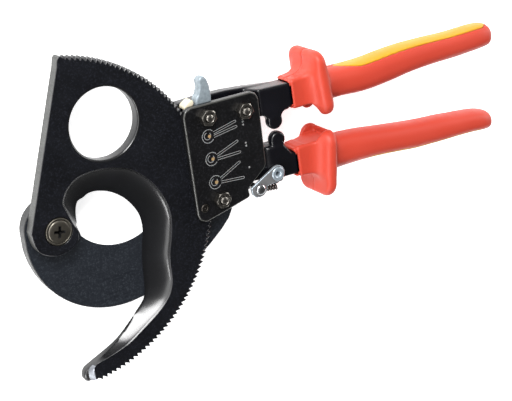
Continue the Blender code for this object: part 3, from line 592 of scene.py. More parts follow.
def clouded(f, where, colour, darker, lighter):
    """A tint that drifts between a darker and a lighter one."""
    return f.mix(f.spread(where, 0.0, 1.0), tint(colour, 1.0 - darker), tint(colour, 1.0 + lighter))


def satin(name, colour, rough, ior=1.5, peel=0.006, change=0.35, scuffs=0.2, specks=0.0):
    """Blackened steel: slight clouding, a fine grain, a few scuffs and specks of wear."""
    f = Finish(name, IOR=ior)
    clouds = f.grain(16.0, detail=3.0)
    fine = f.grain(0.55, detail=3.0)
    scuff = f.grain((14.0, 0.5, 3.0), 38.0, detail=2.0)
    shade = clouded(f, clouds, colour, change, change)
    if specks:
        shade = f.mix(f.spread(f.grain(0.7, detail=1.0), -1.3, 0.9), shade, tint(colour, 1.0 + specks))
    f.apply(Base_Color=shade)
    f.apply(Roughness=f.spread(scuff, rough * (1 - scuffs), rough * (1 + scuffs)))
    f.bump((fine, peel), (clouds, peel * 3))


def bare(name, colour, rough, size, angle=0.0, depth=0.004, change=0.25, mottle=5.0, metallic=1.0):
    """Bright metal: mottled tone and fine lines."""
    f = Finish(name, Metallic=metallic)
    lines = f.grain(size, angle, detail=3.0)
    blotch = f.grain(mottle)
    f.apply(Base_Color=clouded(f, blotch, colour, change, change * 0.6))
    f.apply(Roughness=f.spread(blotch, rough * 1.25, rough * 0.8))
    f.bump((lines, depth), (blotch, depth * 2))


def moulded(name, colour, shadow, rough, peel=0.02):
    """Moulded plastic: fine orange peel, faint handling marks and a little colour drift."""
    f = Finish(name, IOR=1.38, Subsurface_Weight=0.04, Subsurface_Scale=0.0015)
    orange_peel = f.grain(0.9, detail=2.0)
    marks = f.grain((9.0, 5.0, 5.0), detail=5.0, roughness=0.6)
    drift = f.grain((45.0, 30.0, 30.0), detail=2.0)
    f.apply(Base_Color=f.mix(f.spread(drift, 0.0, 1.0), shadow, colour))
    f.apply(Roughness=f.spread(marks, rough * 0.85, rough * 1.2))
    f.bump((orange_peel, peel), (marks, peel * 0.7))


def ground_steel(name):
    """Blued steel with the arcs of a grinding wheel, long clouds and specks."""
    f = Finish(name, IOR=1.55)
    arcs = f.noise(f.round_about((20.0, -150.0), (0.35, 5.0)))
    across = f.grain((7.0, 0.35, 4.0), -24.0, detail=3.0)
    clouds = f.grain((22.0, 14.0, 10.0), 20.0, detail=3.0)
    lined = f.mix(f.spread(arcs, 0.0, 1.0), (0.0030, 0.0040, 0.0062), (0.0120, 0.0150, 0.0210))
    shade = f.mix(f.spread(clouds, 0.1, 0.6), lined, (0.0055, 0.0072, 0.0105))
    f.apply(Base_Color=f.mix(f.spread(f.grain(0.7, detail=1.0), -1.2, 0.9), shade, (0.027, 0.032, 0.039)))
    f.apply(Roughness=f.spread(arcs, 0.30, 0.46))
    f.bump((arcs, 0.006), (across, 0.004))


def build_materials():
    satin("blade_face", (0.0032, 0.0035, 0.0048), 0.36, ior=1.36, peel=0.002, specks=3.0)
    satin("blade_cove", (0.0026, 0.0028, 0.0036), 0.25, ior=1.6, peel=0.0004, scuffs=0.04)
    satin("blade_rim", (0.008, 0.008, 0.010), 0.32, ior=1.6)
    satin("blade_side", (0.020, 0.021, 0.019), 0.42, peel=0.002)
    bare("blade_tip", (0.20, 0.21, 0.23), 0.42, (0.2, 3.0, 3.0))
    ground_steel("frame_face")
    satin("frame_side", (0.008, 0.009, 0.009), 0.40, ior=1.4, peel=0.002)
    satin("cover_black", (0.0030, 0.0030, 0.0034), 0.33, ior=1.38, peel=0.001, scuffs=0.04, specks=3.0)
    # Cover rims are much lighter than the faces: partly wear, partly a painted highlight along the rounded
    # edge
    satin("cover_rim_wear_and_highlight", (0.030, 0.030, 0.027), 0.30, ior=1.7, peel=0.0002, scuffs=0.02, change=0.1)
    satin("handle_black", (0.0030, 0.0030, 0.0045), 0.25, ior=1.42, peel=0.001, scuffs=0.05)
    # Near-black finish for the pivot screw's cross recess: painted shade, since the recess is really the
    # screw's own steel
    satin("recess_painted_shade", (0.003, 0.003, 0.003), 0.5)
    bare("browned", (0.190, 0.178, 0.160), 0.33, 0.5, mottle=2.4, depth=0.001)
    bare("screw_brown", (0.135, 0.124, 0.103), 0.44, 0.5, change=0.2, mottle=1.2, depth=0.001)
    bare("browned_dark", (0.05, 0.045, 0.04), 0.40, 0.5, change=0.4, mottle=1.6)
    bare("zinc", (0.255, 0.300, 0.330), 0.46, 0.8, change=0.22, mottle=1.8, depth=0.0008, metallic=0.35)
    bare("zinc_bright", (0.36, 0.42, 0.47), 0.30, 0.8, change=0.10, mottle=1.6, depth=0.0004, metallic=0.6)
    bare("ball_steel", (0.34, 0.35, 0.36), 0.22, 0.8, change=0.10, mottle=1.6, depth=0.0002)
    bare("link_steel", (0.22, 0.222, 0.228), 0.45, (7.0, 0.22, 2.0), -27.0, depth=0.002, change=0.15,
         metallic=0.5)
    bare("spring_wire", (0.06, 0.052, 0.048), 0.33, 0.4)
    moulded("cream", (0.62, 0.57, 0.44), (0.55, 0.49, 0.36), 0.45)
    moulded("grip_red", (0.455, 0.046, 0.025), (0.420, 0.039, 0.021), 0.42)
    moulded("grip_yellow", (0.510, 0.262, 0.008), (0.475, 0.232, 0.006), 0.42)
    moulded("icon_grey", (0.26, 0.26, 0.26), (0.18, 0.18, 0.18), 0.5)
    moulded("icon_tan", (0.32, 0.21, 0.10), (0.26, 0.17, 0.08), 0.5)


build_materials()


# ---------------------------------------------------------------- blades

ROWS = 16
# Material slots of a blade
BEVEL, TEETH, SIDE, BRIGHT = 1, 2, 3, 4
# The moving blade's hook. Its bevel straightens between two values of Y. Below SHALLOW_Y it gets shallower as
# X falls between two values, and below FACET_Y it is a bright facet with a rounded nose.
STRAIGHTEN_Y = (-30.0, -60.0)
SHALLOW_Y = -45.0
SHALLOW_X = (8.0, 39.0)
LEAST_DEPTH = 0.45
HOLLOW = 2.0
STRAIGHTER = 0.85
FACET_Y = -72.0
FACET_END = (0.48, 0.38)
NOSE_START = (0.52, 0.42)
NOSE_DROP = 0.44


def ramp(value, start, end):
    """0 at start, 1 at end, and straight between them."""
    return min(max((value - start) / (end - start), 0.0), 1.0)


def hollow(power, depth=1.0):
    return [((k / ROWS) ** power, depth * k / ROWS) for k in range(1, ROWS)]


def plain_bevel(ahead):
    """Points across a bevel, as shares of its width and depth, and how many rows of it are bright."""
    return hollow(HOLLOW), 0


def hook_bevel(ahead):
    """The same for the moving blade, which changes along its hook."""
    x, y = ahead
    if y <= FACET_Y:
        half = ROWS // 2
        facet = [(FACET_END[0] * k / half, FACET_END[1] * k / half) for k in range(1, half + 1)]
        across, down = NOSE_START
        turns = [math.pi / 2 * k / (half - 1) for k in range(1, half)]
        nose = [(across + (1 - across) * math.sin(a), down + NOSE_DROP * (1 - math.cos(a))) for a in turns]
        return facet + nose, half
    depth = LEAST_DEPTH + (1 - LEAST_DEPTH) * ramp(x, *SHALLOW_X) if y < SHALLOW_Y else 1.0
    return hollow(HOLLOW - STRAIGHTER * ramp(y, *STRAIGHTEN_Y), depth), 0


def add_blade(bm, columns, front, back, holes, edge=0.25, bevel=plain_bevel):
    """A blade with a hollow-ground bevel that opens to the front level.

    Each column is (front point, back point, material of its wall). The faces use material 0, and the rims are
    finished like the teeth.
    """
    depth = back - front
    step = math.copysign(edge, depth)
    outline = np.array([c[1] for c in columns])
    trimmed = inset(outline, edge)
    chains = []
    rows = []
    for i, (ahead, behind, kind) in enumerate(columns):
        chain = []
        ahead, behind = np.array(ahead), np.array(behind)
        if kind == BEVEL:
            curve, bright = bevel(ahead)
            away = (ahead - behind) / max(np.linalg.norm(ahead - behind), 1e-6)
            chain.append((*(ahead + away * 0.18), front))
            for across, down in curve:
                chain.append((*(ahead + (behind - ahead) * across), front + depth * down))
            chain.append((*behind, front + depth * 0.97))
            chain.append((*(behind * 0.98 + trimmed[i] * 0.02), back))
        else:
            chain.append((*trimmed[i], front))
            for k in range(ROWS):
                chain.append((*behind, front + step + (depth - 2 * step) * k / (ROWS - 1)))
            chain.append((*trimmed[i], back))
        chains.append([bm.verts.new(place(*point)) for point in chain])
        rows.append(bright if kind == BEVEL else 0)
    for i, chain in enumerate(chains):
        before = chains[i - 1]
        kinds = {columns[i][2], columns[i - 1][2]}
        for k in range(len(chain) - 1):
            face = bm.faces.new((before[k], chain[k], chain[k + 1], before[k + 1]))
            if k < min(rows[i], rows[i - 1]):
                face.material_index = BRIGHT
            elif k in (0, len(chain) - 2) or kinds == {TEETH, SIDE}:
                face.material_index = TEETH
            else:
                face.material_index = max(kinds)
    tops = [[chain[0] for chain in chains]]
    bottoms = [[chain[-1] for chain in chains]]
    for centre, radius, chamfer in holes:
        rings = [ring(bm, circle(centre, radius + out), front + math.copysign(down, depth))
                 for out, down in quarter(chamfer, 6)]
        rings.append(ring(bm, circle(centre, radius), back - step))
        rings.append(ring(bm, circle(centre, radius + edge), back))
        for k in range(len(rings) - 1):
            wall(bm, rings[k], rings[k + 1], BEVEL)
        tops.append(rings[0])
        bottoms.append(rings[-1])
    cap(bm, tops)
    cap(bm, bottoms)


def build_moving_blade():
    columns = [(point, point, SIDE) for point in spline(MOVING_LOBE, 5)[:-1]]
    for fx, fy, bx, by in spline([front + back for front, back in MOVING_BEVEL], 8):
        columns.append(((fx, fy), (bx, by), BEVEL))
    # One tooth: shares of its pitch, and radii
    tooth = ((0.0, ROOT_R), (0.10, ROOT_R - 0.06), (0.74, TIP_R - 0.22), (0.84, TIP_R - 0.02),
             (0.90, TIP_R - 0.12), (0.97, ROOT_R + 0.35))
    angle = FIRST_TOOTH
    while angle + TOOTH_PITCH < LAST_TOOTH + 0.01:
        for turn, radius in tooth:
            a = math.radians(angle + turn * TOOTH_PITCH)
            point = (radius * math.cos(a), radius * math.sin(a))
            columns.append((point, point, TEETH))
        angle += TOOTH_PITCH
    columns += [(point, point, SIDE) for point in spline(MOVING_CORNER, 4)]
    holes = ((WINDOW, WINDOW_R, WINDOW_CHAMFER), (PIVOT, BUSH_HOLE_R, 0.3))
    bm = bmesh.new()
    add_blade(bm, columns, BLADE[1], BLADE[0], holes, bevel=hook_bevel)
    finish(bm, "moving_blade_forged", "moving_blade", ["moving_blade"],
           ["blade_face", "blade_cove", "blade_rim", "blade_side", "blade_tip"])


def build_fixed_blade():
    """Its cutting edge is at the front, against the moving blade, with the bevel at the back."""
    columns = []
    steps = 112
    for i, (x, y) in enumerate(circle(FIXED_EDGE_C, FIXED_EDGE_R, steps, -5.5, -136.0, ends=True)):
        fade = min(1.0, i / 24, (steps - i) / 36)
        reach = 1.004 + (FIXED_BEVEL_R / FIXED_EDGE_R - 1.0) * fade
        wide = tuple(c + (value - c) * reach for c, value in zip(FIXED_EDGE_C, (x, y)))
        columns.append((wide, (x, y), BEVEL))
    outline = spline(FIXED_THROAT, 4) + circle(PIVOT, FIXED_LOBE_R, 28, 64.0, 113.0, ends=True)
    outline += circle(FIXED_ARC_C, FIXED_ARC_R, 66, 183.0, 93.0, ends=True)
    outline += list(FIXED_SHANK)
    columns += [(point, point, SIDE) for point in outline]
    holes = ((PIVOT, BUSH_HOLE_R, 0.2), (BOLTS["c"], BOLT_HOLE_R, 0.2))
    bm = bmesh.new()
    add_blade(bm, columns, FRAME[0], FRAME[1], holes, edge=0.35)
    finish(bm, "fixed_blade_forged", "frame", ["fixed_blade"],
           ["frame_face", "blade_cove", "frame_side", "frame_side"])


# ---------------------------------------------------------------- fasteners

def hex_ring(centre, flats, turn, sides=72):
    """Points round a hexagon, evenly by angle, with their radii."""
    angles = [2 * math.pi * i / sides for i in range(sides)]
    radii = [flats / math.cos((a + math.pi / 6) % (math.pi / 3) - math.pi / 6) for a in angles]
    turned = [a + math.radians(turn) for a in angles]
    return [(centre[0] + r * math.cos(a), centre[1] + r * math.sin(a)) for a, r in zip(turned, radii)], radii


def add_hex_nut(bm, centre, flats, turn, levels, bore, both=False):
    """A hexagon nut, flats from its middle to a side, with a conical chamfer in front, and behind if both."""
    points, radii = hex_ring(centre, flats, turn)
    low, high = levels
    crown = flats * 0.985
    cone = 0.62
    bore_chamfer = 0.35
    drop = [(r - crown) * cone for r in radii]

    def corner_ring(level, sign):
        return [bm.verts.new(place(x, y, level + sign * d)) for (x, y), d in zip(points, drop)]

    rings = [ring(bm, circle(centre, bore, 72, turn), low)]
    if both:
        rings.append(ring(bm, circle(centre, crown, 72, turn), low))
        rings.append(corner_ring(low, 1))
    else:
        rings.append(ring(bm, points, low))
    rings.append(corner_ring(high, -1))
    rings.append(ring(bm, circle(centre, crown, 72, turn), high))
    rings.append(ring(bm, circle(centre, bore + bore_chamfer, 72, turn), high))
    rings.append(ring(bm, circle(centre, bore, 72, turn), high - bore_chamfer))
    rings.append(rings[0])
    for first, second in zip(rings, rings[1:]):
        wall(bm, first, second)


def add_stud(bm, centre, radius, top, base, pitch=0.7, depth=0.22):
    """The threaded end of a bolt, from base up to a chamfered tip, and plain below down to its head."""
    sides = 48
    step = pitch / 6
    rows = [(-17.0, 0.0), (base - 0.3, 0.0)]
    count = int((top - 0.45 - base) / step)
    rows += [(base + k * pitch / 6, 1.0) for k in range(count + 1)]
    rings = []
    for z, share in rows:
        loop = []
        for i in range(sides):
            a = 2 * math.pi * i / sides
            phase = (z / pitch - a / (2 * math.pi)) % 1.0
            r = radius - share * depth * (0.5 + 0.5 * math.cos(2 * math.pi * phase)) ** 0.7
            loop.append(bm.verts.new(place(centre[0] + r * math.cos(a), centre[1] + r * math.sin(a), z)))
        rings.append(loop)
    rings.append(ring(bm, circle(centre, radius - 0.3, sides), top - 0.35))
    rings.append(ring(bm, circle(centre, radius - 0.6, sides), top))
    for low, high in zip(rings, rings[1:]):
        wall(bm, low, high)
    bm.faces.new(rings[-1])
    bm.faces.new(rings[0][::-1])


def fitting(bm, name, node, finish_name="browned", angle=SOFT_ANGLE):
    """A steel piece on the frame, in place of a CAD node if one is named."""
    return finish(bm, name, "frame", [node] if node else [], [finish_name], angle)


def turned(name, node, finish_name, centre, profile, radius, sides=72):
    """A fitting with a softened profile."""
    bm = bmesh.new()
    add_lathe(bm, centre, soften(profile, radius), sides)
    fitting(bm, name, node, finish_name)


def build_fasteners():
    for number, (key, centre) in enumerate(BOLTS.items()):
        bm = bmesh.new()
        add_hex_nut(bm, centre, 3.64, 12.0 + 7.0 * number, (3.5, 6.6), 2.2)
        fitting(bm, "hex_nut_" + key, "nut_" + key, angle=math.radians(24))
        bm = bmesh.new()
        add_stud(bm, centre, 1.98, 7.2, 3.6)
        fitting(bm, "stud_" + key, "bolt_" + key, angle=math.radians(50))
        head = ((0, -17.75), (1.2, -17.7), (2.6, -17.4), (3.6, -16.6), (3.75, -15.6), (2.6, -15.6))
        bm = bmesh.new()
        add_lathe(bm, centre, soften(head, 0.35) + [(0, -15.6)])
        fitting(bm, "bolt_head_" + key, None)
    bush = ((4.4, -12.2), (6.55, -12.2), (6.55, 0.15), (6.3, 0.4), (5.85, 0.4), (5.65, 0.2), (5.65, -1.4),
            (4.4, -1.4))
    turned("pivot_bush_turned", "pivot_bush", "screw_brown", PIVOT, bush, 0.22, 96)
    washer = ((4.45, -13.95), (9.0, -13.95), (9.35, -13.7), (9.35, -12.65), (4.45, -12.65))
    turned("pivot_washer_turned", "pivot_washer", "browned_dark", PIVOT, washer, 0.25, 96)
    bm = bmesh.new()
    add_hex_nut(bm, PIVOT, 6.5, 30.0, (-18.0, -14.2), 4.3, both=True)
    fitting(bm, "pivot_hex_nut", "pivot_nut", angle=math.radians(24))
    rivet = ((0, 0.5), (1.0, 0.5), (1.0, 3.5), (2.2, 3.5), (2.2, 3.85), (1.7, 4.15), (1.2, 4.2), (1.0, 3.95),
             (0.45, 3.95), (0.3, 4.1), (0, 4.12))
    turned("cover_rivet_turned", "cover_rivet", "browned_dark", COVER_RIVET, rivet, 0.18)


def build_pivot_screw():
    """A low-domed screw with a tapered cross recess."""
    bm = bmesh.new()
    dome = [(5.2 * math.cos(a), 0.5 + 0.5 * math.sin(a)) for a in np.linspace(0.0, 1.4, 9)]
    shank = [(0, -17.6), (3.2, -17.6), (3.9, -17.0), (4.1, -1.3), (5.4, -1.1), (5.4, 0.3)]
    add_lathe(bm, PIVOT, shank + dome + [(0, 1.0)], 96)
    screw = fitting(bm, "pivot_cross_screw", "pivot_screw", "screw_brown")
    arm = ((0.72, 3.0), (0.72, 0.95), (0.95, 0.72), (3.0, 0.72))
    cross = []
    for turn in range(4):
        a = math.radians(90.0 * turn - 13.0)
        for x, y in arm[::-1]:
            cross.append((x * math.cos(a) - y * math.sin(a), x * math.sin(a) + y * math.cos(a)))
    bm = bmesh.new()
    low = ring(bm, [(x * 0.35, y * 0.35) for x, y in cross], -2.4)
    high = ring(bm, [(x * 1.02, y * 1.02) for x, y in cross], 1.4)
    wall(bm, low, high)
    bm.faces.new(low[::-1])
    bm.faces.new(high)
    recess = add_object("recess", as_mesh(bm, "recess"))
    # The cutter carries the near-black painted-shade finish, and the boolean passes it onto the recess walls
    recess.data.materials.append(materials["recess_painted_shade"])
    mod = screw.modifiers.new("Recess", "BOOLEAN")
    mod.operation = "DIFFERENCE"
    mod.solver = "EXACT"
    mod.material_mode = "TRANSFER"
    mod.object = recess
    bpy.context.view_layer.update()
    result = bpy.data.meshes.new_from_object(screw.evaluated_get(bpy.context.evaluated_depsgraph_get()))
    screw.modifiers.clear()
    screw.data = result
    bpy.data.objects.remove(recess)
    bm = bmesh.new()
    bm.from_mesh(result)
    bmesh.ops.triangulate(bm, faces=[f for f in bm.faces if len(f.verts) > 4])
    bm.to_mesh(result)
    bm.free()
    result.shade_smooth()
    result.set_sharp_from_angle(angle=SOFT_ANGLE)


# ---------------------------------------------------------------- housing

def build_housing():
    holes = [circle(BOLTS[key], BOLT_HOLE_R, 48) for key in BOLTS]
    # Rims take the lighter finish: wear together with a painted highlight on the rounded edge
    finishes = ["cover_black", "cover_rim_wear_and_highlight", "cover_black"]
    slab("front_cover_plate", "frame", ["front_cover"], finishes,
         rounded(FRONT_COVER, 2.4, 10), COVER, holes + [circle(COVER_RIVET, 1.25, 32)], 0.75, 0.3, 6)
    slab("rear_cover_plate", "frame", ["rear_cover"], finishes,
         rounded(REAR_COVER, 2.4, 10), REAR, holes + [circle(HANDLE_AXIS, PIVOT_PIN_HOLE_R, 64)], 0.3, 0.6, 6)
    pin = ((0, -15.3), (3.6, -15.3), (4.0, -14.9), (4.0, -0.3), (3.6, 0.1), (0, 0.1))
    turned("handle_pivot_turned", "handle_pivot_pin", "browned", HANDLE_AXIS, pin, 0.3)


PAINT = 0.06
ICON_X = 81.6
# For each picture: its Y, and the angle between its handles
ICONS = ((-1.2, 34.0), (10.8, 22.0), (22.4, 8.0))
ICON_HANDLE = 12.6
DOT_X = 101.2


def add_stroke(bm, points, width, z):
    """A thin painted line that stands a little proud."""
    p = np.array(points, float)
    along = np.gradient(p, axis=0)
    along /= np.maximum(np.linalg.norm(along, axis=1, keepdims=True), 1e-9)
    side = np.stack((-along[:, 1], along[:, 0]), 1) * width / 2
    outline = np.concatenate((p + side, (p - side)[::-1]))
    low = ring(bm, outline, z)
    high = ring(bm, outline, z + PAINT)
    wall(bm, low, high)
    for loop in (low, high):
        for i in range(len(p) - 1):
            bm.faces.new((loop[i], loop[i + 1], loop[-2 - i], loop[-1 - i]))


def build_icons():
    """Three plain outlines of a cutter, with one, two and three dots beside them."""
    bm = bmesh.new()
    z = COVER[1] + 0.01
    width = 0.34
    thin = width * 0.8
    x = ICON_X
    for count, (y, spread) in enumerate(ICONS, 1):
        add_stroke(bm, circle((x, y), 3.3, 36, 40.0, 280.0, ends=True), width, z)
        add_stroke(bm, circle((x - 0.4, y + 0.2), 1.75, 24, 100.0, 300.0, ends=True), width, z)
        for sign in (1, -1):
            turn = math.radians(8.0 + sign * spread / 2)
            along = Vector((math.cos(turn), math.sin(turn)))
            far = Vector((x + 3.0, y + sign * 0.5)) + along * ICON_HANDLE
            near = Vector((x + 3.0, y + sign * 0.9))
            shift = Vector((-math.sin(turn), math.cos(turn))) * 0.55
            for side in (1, -1):
                add_stroke(bm, [near.lerp(far, t) + shift * side for t in (0.0, 0.5, 1.0)], thin, z)
            end = circle(far, 0.55, 10, math.degrees(turn) - 90.0, 180.0, ends=True)
            add_stroke(bm, end, thin, z)
        hub = ((0, z), (0.85, z), (0.85, z + 0.07), (0, z + 0.07))
        add_lathe(bm, (x + 0.6, y - 0.2), hub, 24, index=1)
        for k in range(count):
            dot = (DOT_X, y + 1.5 * (k - (count - 1) / 2) + 1.6)
            add_lathe(bm, dot, ((0, z), (0.5, z), (0.5, z + PAINT), (0, z + PAINT)), 16)
    finish(bm, "cover_icons", "frame", [], ["icon_grey", "icon_tan"])


# ---------------------------------------------------------------- handles

def upper_handle_field():
    tongue = rounded(UPPER_TONGUE, 1.5, 4)
    bar = rounded(((109.0, 22.4),) + UPPER_BAR[1:-1] + ((109.0, 36.4),), 2.4, 4)
    web = rounded(STOP_WEB, 1.0, 3)
    holes = [(BOLTS["a"], BOLT_HOLE_R), (BOLTS["b"], BOLT_HOLE_R), (HANDLE_AXIS, PIVOT_PIN_HOLE_R),
             (HOLD_AXIS, PAWL_PIN_HOLE_R)]

    def field(x, y, z):
        d = extruded(outline_distance(tongue, x, y), z, *FRAME, 0.9)
        slope = z - (-6.6 + eased(x, 107.6, 7.5, 8.4))
        beam = cut(extruded(outline_distance(bar, x, y), z, *HANDLE_BAR, 1.5), -slope * 0.75, 1.0)
        d = join(d, beam, 1.6)
        root = extruded(outline_distance(web, x, y), z, *STOP_Z, 1.2)
        knob = join(stop_knob(STOP_UPPER, x, y, z), root, 1.0)
        return drilled(join(d, knob, 1.2), x, y, holes)

    return field


def lower_handle_field():
    tongue = rounded(LOWER_TONGUE, 1.5, 4)
    ear = rounded(LOWER_EAR, 1.5, 4)
    bar = rounded(LOWER_BAR, 2.0, 4)
    lug = rounded(LOWER_LUG, 1.2, 4)
    holes = [(HANDLE_AXIS, PIVOT_PIN_HOLE_R), (DRIVE_AXIS, PAWL_PIN_HOLE_R), (LATCH_AXIS, BOLT_HOLE_R)]

    def field(x, y, z):
        d = extruded(outline_distance(tongue, x, y), z, *BLADE, 0.7)
        d = join(d, extruded(outline_distance(ear, x, y), z, -6.0, -3.3, 0.4), 0.5)
        slope = z - (-0.2 + eased(x, 111.5, 5.0, 2.0))
        beam = cut(extruded(outline_distance(bar, x, y), z, *HANDLE_BAR, 1.5), -slope, 0.6)
        d = join(d, beam, 1.2)
        d = join(d, stop_knob(STOP_LOWER, x, y, z), 1.2)
        d = join(d, extruded(outline_distance(lug, x, y), z, -6.5, -1.5, 0.8), 0.8)
        return drilled(d, x, y, holes)

    return field


@dataclass
class Grip:
    """A grip: a collar with a lipped mouth, a guard with two inner ears, and a body with its inlay."""

    rows: np.ndarray
    bar: list
    collar_y: float
    collar_half: float
    mouth: float
    guard_x: float
    guard_y: float
    lean: float
    # 1 or -1: which way along Y the other handle lies
    inner: float
    # Where the inlay starts and ends along X, and half its angle
    inlay: tuple

    def body(self, x, y, z):
        xs = self.rows[:, 0]
        centre, tall, deep = (np.interp(x, xs, self.rows[:, k]) for k in (1, 2, 3))
        u = np.abs(y - centre) / tall
        v = np.abs(z - HANDLE_MID) / deep
        radius = (u ** BODY_POWER + v ** BODY_POWER) ** (1 / BODY_POWER)
        side = (radius - 1.0) * np.minimum(tall, deep)
        end = np.maximum(x - xs[-1], xs[0] - x)
        return cut(side, -end, 5.0), centre, tall, deep

    def seam(self, x, y, z, centre, tall, deep):
        """Distance past the border of the inlay, which tapers to a point at its start."""
        start, stop, half = self.inlay
        share = np.clip((x - start) / 13.0, 0.0, 1.0)
        tail = np.clip((stop - x) / 4.0, 0.0, 1.0)
        fade = np.clip((x - 176.0) / 6.0, 0, 1) * np.clip((220.0 - x) / 8.0, 0, 1)
        ripple = np.sin((x - 178.0) * 1.15) * fade
        width = half * share ** 0.55 * tail ** 0.3 + 0.6 * ripple
        turn = np.degrees(np.arctan2(np.abs(z - HANDLE_MID) * tall / deep, -self.inner * (y - centre)))
        return (turn - width) * math.radians(1.0) * INLAY_R

    def __call__(self, x, y, z):
        body, centre, tall, deep = self.body(x, y, z)
        mid = z - HANDLE_MID
        flare = np.clip((x - self.mouth - 1.9) / 12.0, 0.0, 1.0) ** 2
        dy = y - self.collar_y
        section = box_distance(dy, mid, self.collar_half + flare, 6.6 + flare, 1.5)
        collar = extruded(section, x, self.mouth + 1.9, self.guard_x + 4.0, 0.5)
        rim = box_distance(dy, mid, self.collar_half - 0.55, 6.05, 1.3)
        lip = extruded(rim, x, self.mouth, self.guard_x, 0.45)
        along = x - self.lean * (y - self.guard_y)
        plate = box_distance(y - self.guard_y, mid, 16.75, 13.95, 6.5)
        guard = extruded(plate, along, self.guard_x, self.guard_x + 6.0, 2.7)
        d = join(collar, guard, 7.5)
        d = np.minimum(d, lip)
        face = self.collar_y + self.inner * (self.collar_half + 0.15)
        notch = np.maximum(box_distance(x - self.guard_x, mid, 6.9, 7.0, 1.5), self.inner * (face - y))
        d = cut(d, notch, 1.5)
        d = join(d, body, 2.2)
        low, high = HANDLE_BAR
        pocket = extruded(outline_distance(self.bar, x, y) - 0.5, z, low - 0.5, high + 0.5, 1.2)
        d = np.maximum(d, -pocket)
        recess = np.maximum(self.seam(x, y, z, centre, tall, deep) - 0.10, -(body + INLAY_DEPTH + 0.1))
        return cut(d, recess, 0.25)

    def inlay_field(self, x, y, z):
        body, centre, tall, deep = self.body(x, y, z)
        edge = self.seam(x, y, z, centre, tall, deep) + 0.05
        start, stop, _ = self.inlay
        d = cut(body, -np.maximum(edge, -(body + INLAY_DEPTH)), 0.25)
        return np.maximum(d, np.maximum(start - x, x - stop))


def build_handles():
    skinned("upper_handle_forged", "frame", "upper_handle_bar", "handle_black",
            upper_handle_field(), (68.0, -9.5, -14.0), (233.5, 41.0, 3.5), 0.62)
    skinned("lower_handle_forged", "lower_handle", "lower_handle_bar", "handle_black",
            lower_handle_field(), (84.0, -22.5, -11.5), (228.0, 15.0, 3.5), 0.6)
    upper_bar = ((100.0, 21.4),) + UPPER_BAR[1:-1] + ((100.0, 36.5),)
    lower_bar = ((100.0, -11.2),) + LOWER_BAR[1:-3] + ((127.8, -0.9), (100.0, 1.4))
    upper = Grip(np.array(spline(UPPER_BODY, 6)), rounded(upper_bar, 2.0, 4), collar_y=28.65,
                 collar_half=7.55, mouth=130.0, guard_x=144.2, guard_y=30.8, lean=-0.08, inner=-1.0,
                 inlay=(161.0, 257.4, 44.0))
    lower = Grip(np.array(spline(LOWER_BODY, 6)), rounded(lower_bar, 2.0, 4), collar_y=-6.5,
                 collar_half=8.0, mouth=128.6, guard_x=142.6, guard_y=-11.5, lean=0.14, inner=1.0,
                 inlay=(162.6, 253.4, 44.0))
    for name, body, grip, low, high in (("upper", "frame", upper, (128.0, 11.0), (265.0, 50.0)),
                                        ("lower", "lower_handle", lower, (126.5, -32.0), (261.5, 8.0))):
        skinned(name + "_grip_moulded", body, name + "_grip", "grip_red", grip,
                (*low, -20.0), (*high, 12.0), 0.55)
        skinned(name + "_inlay_moulded", body, name + "_grip_inlay", "grip_yellow",
                grip.inlay_field, (158.0, low[1], -20.0), (*high, 12.0), 0.5)


# ---------------------------------------------------------------- lever and latch

def build_lever():
    lever = rounded(LEVER_ARM, 1.9, 8)
    slab("release_lever_bent", "release_lever", ["release_lever"], ["zinc", "zinc", "zinc"],
         lever, (-5.0, 0.0), [circle(LEVER_AXIS, BOLT_HOLE_R, 48)], 1.3, 0.9, 8)
    (ax, ay), (bx, by) = LEVER_TIP
    lean = math.degrees(math.atan2(by - ay, bx - ax))
    tip = circle((bx, by), LEVER_TIP_R, 16, lean - 90.0, 180.0, ends=True)
    tip += circle((ax, ay), LEVER_TIP_R, 16, lean + 90.0, 180.0, ends=True)
    slab("lever_tip_cap", "release_lever", ["lever_tip"], ["cream"] * 3, tip, (-5.6, 0.0), (),
         0.8, 0.8, 6)


def build_latch():
    link = [(100.6, -11.0), (101.0, -14.4), (103.2, -16.8)]
    link += circle(LATCH_FREE, 4.3, 20, 245.0, 85.0, ends=True)
    link += [(110.2, -12.3)]
    link += circle(LATCH_AXIS, 4.2, 30, -95.0, 207.0, ends=True)
    holes = [circle(LATCH_AXIS, 2.3, 48), circle(LATCH_FREE, 1.75, 36)]
    finishes = ["link_steel", "zinc_bright", "link_steel"]
    for name, levels in (("front", (1.85, 3.35)), ("rear", (-11.4, -9.9))):
        slab("latch_link_" + name, "latch", ["latch_plate_" + name], finishes,
             rounded(link, 0.9, 3), levels, holes, 0.35, 0.35)
    ball = [(2.85 * math.cos(a), 4.05 + 1.65 * math.sin(a)) for a in np.linspace(-0.2, 1.5, 16)]
    profile = soften(((0, -12.6), (2.0, -12.6), (2.4, -12.2), (2.4, -11.65), (1.5, -11.65), (1.5, 3.4)), 0.2)
    lathe("latch_ball_pin", "latch", ["latch_pin"], ["ball_steel"], LATCH_FREE,
          profile + [(2.6, 3.5)] + ball + [(0, 5.7)])
    rivet = soften(((1.1, -12.35), (3.1, -12.35), (3.55, -12.1), (3.55, -11.65), (2.0, -11.65), (2.0, 3.4),
                    (3.3, 3.42), (3.6, 3.7), (3.3, 4.1), (2.7, 4.28), (2.0, 4.2), (1.4, 3.8),
                    (1.1, 3.0)), 0.25)
    lathe("latch_hollow_rivet", "lower_handle", ["latch_rivet"], ["zinc_bright"],
          LATCH_AXIS, rivet)
    build_latch_spring()


